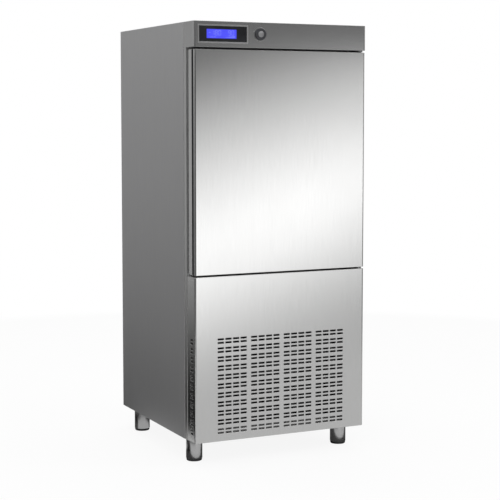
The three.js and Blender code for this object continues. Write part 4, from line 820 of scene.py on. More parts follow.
class BendSmoothing:
    """Shades the bends of folded sheet round and keeps its flats flat."""

    name = "smooth bends"
    limit = 38.0

    @classmethod
    def group(cls) -> bpy.types.NodeTree:
        """Finds the geometry group or builds it.

        Returns:
            A group that joins split corners and marks steep edges as sharp.
        """
        found = bpy.data.node_groups.get(cls.name)
        if found is not None:
            return found
        tree = bpy.data.node_groups.new(cls.name, "GeometryNodeTree")
        tree.interface.new_socket("Geometry", in_out="INPUT", socket_type="NodeSocketGeometry")
        tree.interface.new_socket("Geometry", in_out="OUTPUT", socket_type="NodeSocketGeometry")
        nodes, links = tree.nodes, tree.links
        start, end = nodes.new("NodeGroupInput"), nodes.new("NodeGroupOutput")
        join = nodes.new("GeometryNodeMergeByDistance")
        join.inputs["Distance"].default_value = 0.000002
        angle = nodes.new("GeometryNodeInputMeshEdgeAngle")
        steep = nodes.new("FunctionNodeCompare")
        steep.operation = "GREATER_THAN"
        steep.inputs["B"].default_value = math.radians(cls.limit)
        faces = nodes.new("GeometryNodeSetShadeSmooth")
        edges = nodes.new("GeometryNodeSetShadeSmooth")
        edges.domain = "EDGE"
        edges.inputs["Shade Smooth"].default_value = False
        links.new(start.outputs[0], join.inputs["Geometry"])
        links.new(join.outputs[0], faces.inputs["Geometry"])
        links.new(faces.outputs[0], edges.inputs["Geometry"])
        links.new(angle.outputs["Unsigned Angle"], steep.inputs["A"])
        links.new(steep.outputs[0], edges.inputs["Selection"])
        links.new(edges.outputs[0], end.inputs[0])
        return tree

    @classmethod
    def apply(cls, node: bpy.types.Object) -> None:
        """Adds the smoothing to one object.

        Args:
            node: The object.
        """
        bends = node.modifiers.new("bends", "NODES")
        bends.node_group = cls.group()
        flats = node.modifiers.new("flats", "WEIGHTED_NORMAL")
        flats.keep_sharp = True
        flats.weight = 100


def circle(sides: int) -> list[tuple[float, float]]:
    """Spreads points evenly round a circle of radius 1."""
    turns = [2 * math.pi * i / sides for i in range(sides)]
    return [(math.cos(turn), math.sin(turn)) for turn in turns]


def on_ring(centre: Vector, radius: float, turn: float, y: float) -> Vector:
    """Gives a point on a circle that faces the front."""
    return Vector((centre.x + radius * math.cos(turn), y, centre.z + radius * math.sin(turn)))


def spaced(start: float, end: float, count: int) -> list[float]:
    """Spreads values evenly."""
    return [start + i * (end - start) / (count - 1) for i in range(count)]


class Shape:
    """Collects closed solids in one mesh, in metres, in the row's frame."""

    ON_AXIS = 1e-7

    def __init__(self) -> None:
        """Starts an empty mesh."""
        self.mesh = bmesh.new()

    def box(self, low: Point, high: Point, edge: float = 0.0, steps: int = 2) -> "Shape":
        """Adds a block with rounded edges.

        Args:
            low: Lowest corner.
            high: Highest corner.
            edge: Radius of its edges.
            steps: Facets round each edge.

        Returns:
            This shape.
        """
        size = [b - a for a, b in zip(low, high)]
        centre = [(a + b) / 2 for a, b in zip(low, high)]
        place = Matrix.Translation(centre) @ Matrix.Diagonal((*size, 1.0))
        made = bmesh.ops.create_cube(self.mesh, size=1.0, matrix=place)["verts"]
        if edge > 0:
            edges = list({e for v in made for e in v.link_edges})
            bevel = {"offset": edge, "segments": steps, "profile": 0.5, "affect": "EDGES"}
            bmesh.ops.bevel(self.mesh, geom=edges, **bevel)
        return self

    def turned(
        self, profile: Profile, centre: Point, axis: Vector = UP, sides: int = 48
    ) -> "Shape":
        """Adds a solid of revolution.

        Args:
            profile: Closed outline as (radius, height) pairs.
            centre: Where height 0 lies on the axis.
            axis: Direction of growing height.
            sides: Facets round the axis.

        Returns:
            This shape.
        """
        tilt = UP.rotation_difference(axis).to_matrix().to_4x4()
        place = Matrix.Translation(centre) @ tilt
        rings = []
        for radius, height in profile:
            points = [Vector((0, 0, height))]
            if radius > self.ON_AXIS:
                points = [Vector((radius * c, radius * s, height)) for c, s in circle(sides)]
            rings.append([self.mesh.verts.new(place @ point) for point in points])
        self.join_rings(rings, closed=True)
        return self

    def join_rings(self, rings: list[list[bmesh.types.BMVert]], closed: bool) -> None:
        """Skins a row of rings, which may end in single points.

        Args:
            rings: Rings of equal length, or of one vertex.
            closed: Whether the last ring joins the first.
        """
        made = []
        following = rings[1:] + rings[:1] if closed else rings[1:]
        for one, two in zip(rings, following):
            count = max(len(one), len(two))
            if count == 1:
                continue
            for i in range(count):
                j = (i + 1) % count
                corners = [one[i % len(one)], one[j % len(one)]]
                corners += [two[j % len(two)], two[i % len(two)]]
                unique = list(dict.fromkeys(corners))
                if len(unique) > 2:
                    made.append(self.mesh.faces.new(unique))
        bmesh.ops.recalc_face_normals(self.mesh, faces=made)

    def tube(
        self, points: Sequence[Point], radius: float, sides: int, closed: bool = False
    ) -> "Shape":
        """Adds a round rod along a line of close points.

        Args:
            points: The middle line.
            radius: Radius of the rod.
            sides: Facets round it.
            closed: Whether its end joins its start.

        Returns:
            This shape.
        """
        line = [Vector(p) for p in points]
        count = len(line)
        tangents = []
        for i in range(count):
            before = line[i - 1] if closed or i else line[0]
            after = line[(i + 1) % count] if closed or i < count - 1 else line[-1]
            tangents.append((after - before).normalized())
        side = tangents[0].orthogonal().normalized()
        rings = []
        for point, tangent in zip(line, tangents):
            side = (side - tangent * side.dot(tangent)).normalized()
            other = tangent.cross(side)
            spokes = [(side * c + other * s) * radius for c, s in circle(sides)]
            rings.append([self.mesh.verts.new(point + spoke) for spoke in spokes])
        self.join_rings(rings, closed=closed)
        if not closed:
            self.mesh.faces.new(list(reversed(rings[0])))
            self.mesh.faces.new(rings[-1])
            bmesh.ops.recalc_face_normals(self.mesh, faces=list(self.mesh.faces))
        return self

    def ring_sweep(self, section: Profile, half_width: float, low: float, high: float) -> "Shape":
        """Adds a mitred rectangular ring in the front plane.

        Args:
            section: Closed outline as (distance inwards, depth y) pairs.
            half_width: Half of the ring's outer width.
            low: Height of its lower edge.
            high: Height of its upper edge.

        Returns:
            This shape.
        """
        rings = []
        for inwards, depth in section:
            x, z0, z1 = half_width - inwards, low + inwards, high - inwards
            corners = [(-x, z0), (x, z0), (x, z1), (-x, z1)]
            rings.append([self.mesh.verts.new((u, depth, v)) for u, v in corners])
        self.join_rings(rings, closed=True)
        return self

    @staticmethod
    def rim(rows: list[list[bmesh.types.BMVert]]) -> list[bmesh.types.BMVert]:
        """Walks round the rim of a grid of corners.

        Args:
            rows: The grid's rows.

        Returns:
            The corners on its rim, in order.
        """
        right = [row[-1] for row in rows[1:-1]]
        left = [row[0] for row in rows[-2:0:-1]]
        return rows[0] + right + rows[-1][::-1] + left

    def sheet(
        self,
        grid: Sequence[Sequence[Vector]],
        normals: Sequence[Sequence[Vector]],
        thickness: float,
    ) -> "Shape":
        """Adds a curved sheet of even thickness.

        Args:
            grid: Rows of points on its middle surface.
            normals: The surface's normal at each point.
            thickness: Its thickness.

        Returns:
            This shape.
        """
        layers = []
        for offset in (thickness / 2, -thickness / 2):
            layers.append(
                [
                    [self.mesh.verts.new(p + n * offset) for p, n in zip(*rows)]
                    for rows in zip(grid, normals)
                ]
            )
        made = []
        for rows in layers:
            for one, two in zip(rows, rows[1:]):
                for i in range(len(one) - 1):
                    made.append(self.mesh.faces.new((one[i], one[i + 1], two[i + 1], two[i])))
        outer, inner = (self.rim(rows) for rows in layers)
        for i in range(len(outer)):
            j = (i + 1) % len(outer)
            made.append(self.mesh.faces.new((outer[i], outer[j], inner[j], inner[i])))
        bmesh.ops.recalc_face_normals(self.mesh, faces=made)
        return self

    def add(self, other: "Shape", place: Matrix) -> None:
        """Takes in another shape, which ends with that.

        Args:
            other: The other shape.
            place: Where it goes.
        """
        bmesh.ops.transform(other.mesh, matrix=place, verts=other.mesh.verts)
        spare = bpy.data.meshes.new("spare")
        other.mesh.to_mesh(spare)
        other.mesh.free()
        self.mesh.from_mesh(spare)
        bpy.data.meshes.remove(spare)

    def object(self, name: str, finish: Finish, angle: float = 35.0) -> bpy.types.Object:
        """Turns the collected solids into an object.

        Args:
            name: Its name.
            finish: Its finish.
            angle: Edges sharper than this stay sharp, in degrees.

        Returns:
            The object.
        """
        mesh = bpy.data.meshes.new(name)
        self.mesh.to_mesh(mesh)
        self.mesh.free()
        made = bpy.data.objects.new(name, mesh)
        bpy.context.scene.collection.objects.link(made)
        mesh.materials.append(finish.material())
        mesh.shade_smooth()
        mesh.set_sharp_from_angle(angle=math.radians(angle))
        return made


def middle(node: str) -> Vector:
    """Gives the middle of a CAD node's box."""
    low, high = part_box(node)
    return (low + high) / 2


@dataclass
class Assembly:
    """A sub-assembly: it dresses its CAD nodes and adds pieces that ride on one CAD body.

    Attributes:
        body: The CAD body that its pieces ride on.
    """

    body: str = "cabinet"

    def dress(self, finish: Finish, *nodes: str) -> None:
        """Gives CAD nodes a finish.

        Args:
            finish: The finish.
            nodes: Names of the nodes.
        """
        for name in nodes:
            mesh = frame["nodes"][name].data
            mesh.materials.clear()
            mesh.materials.append(finish.material())
            BendSmoothing.apply(frame["nodes"][name])
            log.info("%s: %s", name, finish.name)

    def place(self, made: bpy.types.Object, slot: Slot, *nodes: str, body: str = "") -> None:
        """Lets a piece ride on a CAD body.

        Args:
            made: The piece.
            slot: Not used.
            nodes: CAD nodes that it stands for.
            body: The CAD body, where it isn't the assembly's own.
        """
        carrier = body or self.body
        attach(made, carrier)
        if nodes:
            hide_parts(*nodes)
        log.info("%s rides on %s", made.name, carrier)

    def screws(
        self, name: str, places: Iterable[Point], axis: Vector, radius: float = 0.004
    ) -> None:
        """Adds a set of button-head screws with their sockets.

        Args:
            name: Name of the set.
            places: Where their heads sit.
            axis: The way the heads point.
            radius: Radius of a head.
        """
        profile = (
            (0.0, 0.0), (radius, 0.0), (radius, radius * 0.18),
            (radius * 0.82, radius * 0.42), (radius * 0.42, radius * 0.5),
            (radius * 0.38, radius * 0.2), (0.0, radius * 0.2),
        )
        shape = Shape()
        for point in places:
            shape.turned(profile, point, axis, sides=20)
        self.place(shape.object(name, SCREW_STEEL), Slot.STEEL)

    def build(self) -> None:
        """Builds and dresses the sub-assembly."""
        raise NotImplementedError


# ------------------------------------------------------------------ cabinet and cover


@dataclass
class Cabinet(Assembly):
    """The insulated body: outer sheets, portal, liner, foam and base.

    Attributes:
        screw_inset: Distance of the pan's screws from its edge.
        screws_along: Number of screws along each long edge of the pan.
    """

    screw_inset: float = 0.012
    screws_along: int = 4

    def build(self) -> None:
        """Dresses the sheets and adds the screws under the base."""
        self.dress(SIDE_STEEL, "side_panel_left", "side_panel_right")
        self.dress(TOP_STEEL, "top_panel")
        self.dress(ZINC, "back_panel", "rear_service_cover", "electrical_box")
        self.dress(PAN_ZINC, "base_pan")
        self.dress(FRAME_STEEL, "front_frame")
        self.dress(LINER_STEEL, "inner_liner")
        self.dress(FOAM, "cabinet_foam")
        low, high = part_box("base_pan")
        xs = spaced(low.x + self.screw_inset, high.x - self.screw_inset, self.screws_along)
        ys = (low.y + self.screw_inset, high.y - self.screw_inset)
        self.screws("base_pan_screws", [(x, y, low.z) for x in xs for y in ys], -UP)


@dataclass
class LowerCover(Assembly):
    """The slotted cover in front of the refrigeration unit."""

    def build(self) -> None:
        """Dresses the folded cover, whose slots are in the sheet itself."""
        self.dress(COVER_STEEL, "lower_cover")


class Corner(Enum):
    """Where a leg stands."""

    FRONT_LEFT = "front_left"
    FRONT_RIGHT = "front_right"
    REAR_LEFT = "rear_left"
    REAR_RIGHT = "rear_right"


@dataclass
class Leg(Assembly):
    """One leg: a tube with rolled ends on the cabinet, and the foot that screws out of it.

    Attributes:
        corner: Which leg it is.
        wall: Thickness of the tube.
        roll: Radius of its rolled lower edge.
        shoulder: Radius of its upper edge.
        stud: Radius of the stud that holds it under the base.
        stud_length: Length of that stud.
        stem: Radius of the foot's stem.
        gap: Clearance between the tube's lower edge and the foot's band.
    """

    corner: Corner = Corner.FRONT_LEFT
    wall: float = 0.002
    roll: float = 0.0015
    shoulder: float = 0.004
    stud: float = 0.006
    stud_length: float = 0.016
    stem: float = 0.008
    gap: float = 0.0003

    def named(self, kind: str) -> str:
        """Names one of this corner's pieces."""
        return f"{kind}_{self.corner.value}"

    def tube(self) -> Shape:
        """Builds the tube with its stud.

        Returns:
            Its shape.
        """
        low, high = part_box(self.named("leg"))
        centre = middle(self.named("leg"))
        radius = (high.x - low.x) / 2
        top = high.z - self.stud_length
        profile = (
            (radius - self.roll, low.z),
            (radius - self.roll * 0.3, low.z + self.roll * 0.3),
            (radius, low.z + self.roll), (radius, top - self.shoulder),
            (radius - self.shoulder * 0.3, top - self.shoulder * 0.3),
            (radius - self.shoulder, top), (self.stud, top), (self.stud, high.z),
            (0.0, high.z), (0.0, top - self.shoulder),
            (radius - self.wall, top - self.shoulder), (radius - self.wall, low.z),
        )
        return Shape().turned(profile, (centre.x, centre.y, 0), sides=64)

    def foot(self) -> Shape:
        """Builds the foot: a ribbed band on a rounded pad, and the stem inside the tube.

        Returns:
            Its shape.
        """
        low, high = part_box(self.named("leg"))
        centre = middle(self.named("leg"))
        radius = (high.x - low.x) / 2
        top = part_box(self.named("foot"))[1].z
        band = low.z - self.gap
        grip = radius - 0.001
        profile = (
            (0.0, 0.0), (radius - 0.0060, 0.0), (radius - 0.0035, 0.0006),
            (radius - 0.0022, 0.0020), (radius - 0.0018, 0.0040), (radius - 0.0025, 0.0047),
            (radius - 0.0016, 0.0054), (grip, band - 0.0028), (grip - 0.0006, band),
            (self.stem + 0.0005, band), (self.stem, band + 0.002), (self.stem, top - 0.002),
            (self.stem - 0.0015, top), (0.0, top),
        )
        return Shape().turned(profile, (centre.x, centre.y, 0), sides=64)

    def build(self) -> None:
        """Replaces the faceted tube and foot by smooth ones."""
        tube = self.tube().object(self.named("leg_tube"), LEG_STEEL)
        self.place(tube, Slot.STEEL, self.named("leg"))
        foot = self.foot().object(self.named("foot_pad"), FOOT_RUBBER)
        self.place(foot, Slot.RUBBER, self.named("foot"), body=self.named("foot"))


# ------------------------------------------------------------------ control head


@dataclass
class ControlHead(Assembly):
    """The folded fascia with its display and the board behind it.

    Attributes:
        figure: Width and height of a large figure.
        stroke: Width of a figure's strokes.
        lift: Thickness of the figures on the panel.
        border: Width of the panel's plain border.
        bars: Number of bars beside the small figures.
        bar: Width of a bar.
        bar_pitch: Distance between bars.
        bar_rise: What each bar is taller than the one before.
    """

    figure: tuple[float, float] = (0.0095, 0.019)
    stroke: float = 0.0018
    lift: float = 0.0003
    border: float = 0.008
    bars: int = 10
    bar: float = 0.003
    bar_pitch: float = 0.0044
    bar_rise: float = 0.0006

    SEGMENTS = {
        "0": "abcdef", "1": "bc", "2": "abged", "3": "abgcd", "4": "fgbc",
        "5": "afgcd", "6": "afgedc", "7": "abc", "8": "abcdefg", "9": "abcfgd", "-": "g",
    }

    def add_stroke(
        self, shape: Shape, segment: str, x: float, z: float, width: float, height: float
    ) -> None:
        """Adds one stroke of a figure.

        Args:
            shape: The shape it goes into.
            segment: The stroke, a to g.
            x: Left edge of the figure.
            z: Lower edge of the figure.
            width: Width of the figure.
            height: Height of the figure.
        """
        s = self.stroke * width / self.figure[0]
        half = height / 2
        level = {"a": height, "g": half, "d": 0.0}
        if segment in level:
            centre = z + level[segment]
            x0, x1 = x + s * 0.7, x + width - s * 0.7
            z0, z1 = centre - s / 2, centre + s / 2
        else:
            side = x if segment in "ef" else x + width
            base = z if segment in "ce" else z + half
            x0, x1 = side - s / 2, side + s / 2
            z0, z1 = base + s * 0.7, base + half - s * 0.7
        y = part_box("lcd_module")[0].y
        shape.box((x0, y - self.lift, z0), (x1, y, z1))

    def write(self, shape: Shape, text: str, x: float, z: float, scale: float = 1.0) -> None:
        """Writes plain figures.

        Args:
            shape: The shape they go into.
            text: Figures, minus signs, points and spaces.
            x: Left edge of the first.
            z: Their lower edge.
            scale: Size relative to the large figures.
        """
        width, height = (v * scale for v in self.figure)
        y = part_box("lcd_module")[0].y
        for letter in text:
            if letter == ".":
                dot, start = self.stroke * scale, x - width * 0.22
                shape.box((start, y - self.lift, z - dot / 2), (start + dot, y, z + dot / 2))
                continue
            for segment in self.SEGMENTS.get(letter, ""):
                self.add_stroke(shape, segment, x, z, width, height)
            x += width * 1.55

    def add_bars(self, shape: Shape, x: float, z: float) -> None:
        """Adds a row of bars, each taller than the one before.

        Args:
            shape: The shape they go into.
            x: Left edge of the first.
            z: Their lower edge.
        """
        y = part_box("lcd_module")[0].y
        for i in range(self.bars):
            left = x + i * self.bar_pitch
            top = z + self.bar_rise * (i + 1)
            shape.box((left, y - self.lift, z), (left + self.bar, y, top))

    def build(self) -> None:
        """Dresses the head and puts plain figures on the display."""
        self.dress(HEAD_STEEL, "control_fascia")
        self.dress(BEZEL_STEEL, "display_bezel")
        self.dress(WINDOW_GLASS, "display_window")
        self.dress(LCD_BLUE, "lcd_module")
        self.dress(BOARD, "control_board")
        low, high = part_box("lcd_module")
        left, right, base = low.x + self.border, high.x - self.border, low.z + self.border
        upper, lower = base + 0.0125, base + 0.004
        figures = Shape()
        self.write(figures, "-18.0", left + 0.008, upper)
        self.write(figures, "90", right - 0.036, upper)
        self.write(figures, "0123456789", left + 0.008, lower, scale=0.22)
        self.add_bars(figures, right - 0.050, lower)
        self.place(figures.object("display_figures", LCD_FIGURE), Slot.DISPLAY)


@dataclass
class Selector(Assembly):
    """The push-and-turn selector: spindle, fluted ring and cap.

    Attributes:
        flutes: Number of grip flutes.
        flute_depth: Depth of a flute.
        seat: Radius of the recess that the cap sits in.
        socket: Radius of the hollow in the knob's back.
        bore: Radius of the bore that the spindle fits in.
        shaft: Radius of the spindle.
        trim: How far the trim ring shows round the knob, and how thick it is.
    """

    flutes: int = 20
    flute_depth: float = 0.0009
    seat: float = 0.0128
    socket: float = 0.0092
    bore: float = 0.0036
    shaft: float = 0.003
    trim: tuple[float, float] = (0.0030, 0.0004)

    def knob(self) -> Shape:
        """Builds the fluted ring.

        Returns:
            Its shape.
        """
        low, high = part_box("knob")
        centre = middle("knob")
        radius = (high.x - low.x) / 2
        front, back = low.y, high.y
        outline = (
            (self.seat, front + 0.0016, 0.0), (self.seat, front + 0.0003, 0.0),
            (0.0140, front, 0.0), (radius - 0.0040, front, 0.0),
            (radius - 0.0022, front + 0.0005, 0.2), (radius - 0.0008, front + 0.0018, 0.7),
            (radius - 0.0002, front + 0.0040, 1.0), (radius, back - 0.0030, 1.0),
            (radius, back - 0.0022, 0.0), (radius, back, 0.0), (self.socket, back, 0.0),
            (self.socket, back - 0.0025, 0.0), (self.bore, back - 0.0025, 0.0),
            (self.bore, front + 0.0026, 0.0), (0.0, front + 0.0026, 0.0),
            (0.0, front + 0.0016, 0.0),
        )
        shape = Shape()
        sides = self.flutes * 8
        rings = []
        for reach, depth, fluted in outline:
            points = [(centre.x, depth, centre.z)]
            if reach > 0.0:
                turns = [2 * math.pi * i / sides for i in range(sides)]
                waves = [max(0.0, math.cos(self.flutes * turn)) ** 2 for turn in turns]
                cut = self.flute_depth * fluted
                points = [
                    on_ring(centre, reach - cut * wave, turn, depth)
                    for turn, wave in zip(turns, waves)
                ]
            rings.append([shape.mesh.verts.new(point) for point in points])
        shape.join_rings(rings, closed=True)
        return shape

    def trim_ring(self) -> Shape:
        """Builds the thin ring on the fascia round the knob.

        Returns:
            Its shape.
        """
        low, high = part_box("knob")
        centre = middle("knob")
        reach, sheet = self.trim
        radius = (high.x - low.x) / 2
        inner, outer = radius - 0.004, radius + reach
        profile = ((inner, 0.0), (outer, 0.0), (outer - 0.0004, sheet), (inner, sheet))
        origin = (centre.x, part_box("control_fascia")[0].y, centre.z)
        return Shape().turned(profile, origin, FORWARD, sides=72)

    def cap(self) -> Shape:
        """Builds the dished cap with its raised rim.

        Returns:
            Its shape.
        """
        low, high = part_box("knob_cap")
        centre = middle("knob")
        radius = (high.x - low.x) / 2
        profile = (
            (0.0, 0.0), (radius, 0.0), (radius, 0.0010), (radius - 0.0006, 0.0015),
            (radius - 0.0016, 0.0015), (radius - 0.0022, 0.0012), (radius * 0.5, 0.0010),
            (0.0, 0.0009),
        )
        return Shape().turned(profile, (centre.x, high.y, centre.z), FORWARD, sides=64)

    def spindle(self) -> Shape:
        """Builds the spindle with its chamfered ends.

        Returns:
            Its shape.
        """
        low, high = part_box("encoder_spindle")
        centre = middle("knob")
        length, chamfer = high.y - low.y, 0.0004
        profile = (
            (0.0, 0.0), (self.shaft - chamfer, 0.0), (self.shaft, chamfer),
            (self.shaft, length - chamfer), (self.shaft - chamfer, length), (0.0, length),
        )
        return Shape().turned(profile, (centre.x, high.y, centre.z), FORWARD, sides=32)

    def build(self) -> None:
        """Replaces the faceted knob, cap and spindle by smooth ones."""
        self.place(self.trim_ring().object("knob_trim", BEZEL_STEEL), Slot.STEEL)
        knob = self.knob().object("knob_ring", KNOB_PLASTIC, angle=50.0)
        self.place(knob, Slot.PLASTIC, "knob", body="selector_knob")
        cap = self.cap().object("knob_cap_disc", CAP_STEEL)
        self.place(cap, Slot.STEEL, "knob_cap", body="selector_knob")
        spindle = self.spindle().object("selector_shaft", SCREW_STEEL)
        self.place(spindle, Slot.STEEL, "encoder_spindle", body="selector_spindle")


# ------------------------------------------------------------------ door


@dataclass
class Door(Assembly):
    """The hinged door: skin, grip recess, inner panel, bellows seal and bushes.

    Attributes:
        body: The CAD body that its pieces ride on.
        seal_width: Width of the seal's foot.
        seal_head: Thickness of its magnetic head.
        bush_bore: Radius of a bush's bore.
        bush_sleeve: Radius of its sleeve.
        bush_collar: Radius of its collar.
        bush_depth: Length of its sleeve.
    """

    body: str = "door"
    seal_width: float = 0.028
    seal_head: float = 0.006
    bush_bore: float = 0.0062
    bush_sleeve: float = 0.009
    bush_collar: float = 0.013
    bush_depth: float = 0.0323

    def seal(self) -> Shape:
        """Builds the bellows seal with its folds.

        Returns:
            Its shape.
        """
        low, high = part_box("door_seal")
        w, near, far = self.seal_width, low.y, high.y
        side = [
            (0.0, near), (0.0, near + 0.003), (0.005, near + 0.0042),
            (0.0095, near + 0.006), (0.0060, near + 0.009), (0.0095, near + 0.0120),
            (0.0050, far - self.seal_head), (0.0012, far - self.seal_head + 0.0008),
            (0.0, far - self.seal_head + 0.002), (0.0, far - 0.0012), (0.0012, far),
        ]
        section = side + [(w - inwards, depth) for inwards, depth in reversed(side)]
        return Shape().ring_sweep(section, (high.x - low.x) / 2, low.z, high.z)

    def bush(self, node: str, upward: bool) -> None:
        """Replaces a faceted hinge bush.

        Args:
            node: Its CAD node.
            upward: Whether its collar is at its lower end.
        """
        low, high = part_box(node)
        centre = middle(node)
        length = high.z - low.z
        collar = length - self.bush_depth
        profile = (
            (self.bush_bore, 0.0), (self.bush_collar - 0.0004, 0.0),
            (self.bush_collar, collar * 0.4), (self.bush_collar, collar),
            (self.bush_sleeve, collar), (self.bush_sleeve, length - 0.001),
            (self.bush_sleeve - 0.001, length), (self.bush_bore, length),
        )
        axis = UP if upward else -UP
        origin = (centre.x, centre.y, low.z if upward else high.z)
        bush = Shape().turned(profile, origin, axis, sides=40)
        self.place(bush.object(f"{node}_sleeve", BLACK_PLASTIC), Slot.PLASTIC, node)

    def build(self) -> None:
        """Dresses the door and replaces its seal and bushes."""
        self.dress(DOOR_STEEL, "door_skin")
        self.dress(PANEL_PLASTIC, "door_inner_panel")
        self.dress(FOAM, "door_foam")
        self.dress(GRIP_PLASTIC, "door_grip")
        self.place(self.seal().object("door_seal_bellows", SEAL_RUBBER), Slot.RUBBER, "door_seal")
        self.bush("hinge_bush_lower", True)
        self.bush("hinge_bush_upper", False)


@dataclass
class Hinges(Assembly):
    """The two fixed brackets with the screws that hold them.

    Attributes:
        screw: Radius of a screw's head.
        screw_offsets: Distances of the screws from a bracket's outer edge.
    """

    screw: float = 0.0055
    screw_offsets: tuple[float, float] = (0.014, 0.040)

    def build(self) -> None:
        """Dresses the brackets and adds their screws."""
        self.dress(HINGE_STEEL, "hinge_bracket_lower", "hinge_bracket_upper")
        for node, sign in (("hinge_bracket_lower", -1), ("hinge_bracket_upper", 1)):
            low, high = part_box(node)
            edge = low.z if sign < 0 else high.z
            x, y = (low.x + high.x) / 2 - 0.001, high.y - 0.005
            places = [(x, y, edge - sign * offset) for offset in self.screw_offsets]
            self.screws(f"{node}_screws", places, FORWARD, radius=self.screw)


# ------------------------------------------------------------------ chamber


@dataclass
class FinPack:
    """A pack of thin fins on rows of tubes.

    Attributes:
        low: Lowest corner of the fins.
        high: Highest corner of the fins.
        pitch: Distance between fins.
        rows: Tube rows from front to back.
        tube_pitch: Height between tubes.
        bend: How far the return bends stand out, or 0 where there are none.
        thickness: Thickness of a fin.
        tube_radius: Radius of the tubes.
    """

    low: Vector
    high: Vector
    pitch: float
    rows: int
    tube_pitch: float
    bend: float
    thickness: float = 0.0006
    tube_radius: float = 0.005

    def fins(self) -> Shape:
        """Builds the fins.

        Returns:
            Their shape.
        """
        shape = Shape()
        low, high, half = self.low, self.high, self.thickness / 2
        count = int((high.x - low.x) / self.pitch)
        start = (low.x + high.x - (count - 1) * self.pitch) / 2
        for i in range(count):
            x = start + i * self.pitch
            shape.box((x - half, low.y, low.z), (x + half, high.y, high.z))
        return shape

    @staticmethod
    def add_plates(shape: Shape, low: Vector, high: Vector, sheet: float) -> None:
        """Adds the two end plates."""
        for x0, x1 in ((low.x, low.x + sheet), (high.x - sheet, high.x)):
            shape.box((x0, low.y, low.z), (x1, high.y, high.z), 0.0005)

    def add_bend(self, shape: Shape, y: float, z: float, right: bool) -> None:
        """Adds one return bend between two tubes.

        Args:
            shape: The shape it goes into.
            y: Depth of the tube row.
            z: Height of the lower tube.
            right: Whether it is at the right end.
        """
        side, out = (self.high.x, self.bend) if right else (self.low.x, -self.bend)
        arc = []
        for i in range(9):
            turn = math.pi * i / 8
            rise = self.tube_pitch * (1 - math.cos(turn)) / 2
            arc.append((side + out * math.sin(turn), y, z + rise))
        shape.tube(arc, self.tube_radius, 10)

    def tubes(self) -> Shape:
        """Builds the tubes and the return bends between them.

        Returns:
            Their shape.
        """
        shape = Shape()
        levels = int((self.high.z - self.low.z) / self.tube_pitch)
        first = (self.low.z + self.high.z - (levels - 1) * self.tube_pitch) / 2
        for row in range(self.rows):
            y = self.low.y + (row + 0.5) * (self.high.y - self.low.y) / self.rows
            for level in range(levels):
                z = first + level * self.tube_pitch
                shape.tube([(self.low.x, y, z), (self.high.x, y, z)], self.tube_radius, 10)
                if self.bend and level < levels - 1:
                    self.add_bend(shape, y, z, level % 2 == 1)
        return shape


@dataclass
class Rotor:
    """A bladed rotor that turns about an axis along y.

    Attributes:
        centre: Middle of the hub's front face.
        radius: Radius over the blades.
        hub: Radius of the hub.
        depth: Depth of the hub.
        blades: Number of blades.
        pitch: Angle of a blade at its root and at its tip, in degrees.
        sweep: How far the tip leads the root, in radians.
        camber: Height of a blade's arch as a share of its chord.
        sheet: Thickness of a blade.
        bore: Radius of the hub's bore.
    """

    centre: Vector
    radius: float
    hub: float
    depth: float
    blades: int = 5
    pitch: tuple[float, float] = (34.0, 20.0)
    sweep: float = 0.18
    camber: float = 0.05
    sheet: float = 0.0018
    bore: float = 0.0053

    def add_blade(self, shape: Shape, start: float) -> None:
        """Adds one twisted, cambered blade.

        Args:
            shape: The shape it goes into.
            start: Angle of its middle line.
        """
        grid, normals = [], []
        spans, chords = 9, 7
        root, limit = self.hub * 0.94, self.depth * 0.52
        for i in range(spans):
            share = i / (spans - 1)
            radius = root + (self.radius - root) * share
            chord = self.radius * (0.34 + 0.42 * math.sin(math.pi * min(share * 0.9, 0.62)))
            if share > 0.85:
                chord *= 1.0 - 0.9 * (share - 0.85)
            angle = math.radians(self.pitch[0] + (self.pitch[1] - self.pitch[0]) * share)
            row, row_normals = [], []
            for j in range(chords):
                along = j / (chords - 1) - 0.5
                arch = self.camber * chord * (1 - (2 * along) ** 2)
                around = along * chord * math.cos(angle) - arch * math.sin(angle)
                forward = along * chord * math.sin(angle) + arch * math.cos(angle)
                turn = start + self.sweep * share + around / radius
                y = self.centre.y + self.depth / 2 + max(-limit, min(limit, forward * 0.9))
                row.append(on_ring(self.centre, radius, turn, y))
                tangent = Vector((-math.sin(turn), 0, math.cos(turn)))
                normal = Vector((0, math.cos(angle), 0)) - tangent * math.sin(angle)
                row_normals.append(normal.normalized())
            grid.append(row)
            normals.append(row_normals)
        shape.sheet(grid, normals, self.sheet)

    def shape(self) -> Shape:
        """Builds hub and blades.

        Returns:
            The rotor's shape.
        """
        profile = (
            (self.bore, 0.0), (self.hub, 0.0), (self.hub, self.depth - 0.006),
            (self.hub - 0.0018, self.depth - 0.002), (self.hub - 0.006, self.depth),
            (0.012, self.depth), (0.010, self.depth - 0.002), (0.0, self.depth - 0.002),
            (0.0, self.depth - 0.0055), (self.bore, self.depth - 0.0055),
        )
        origin = (self.centre.x, self.centre.y + self.depth, self.centre.z)
        made = Shape().turned(profile, origin, FORWARD, sides=48)
        for i in range(self.blades):
            self.add_blade(made, 2 * math.pi * i / self.blades)
        return made


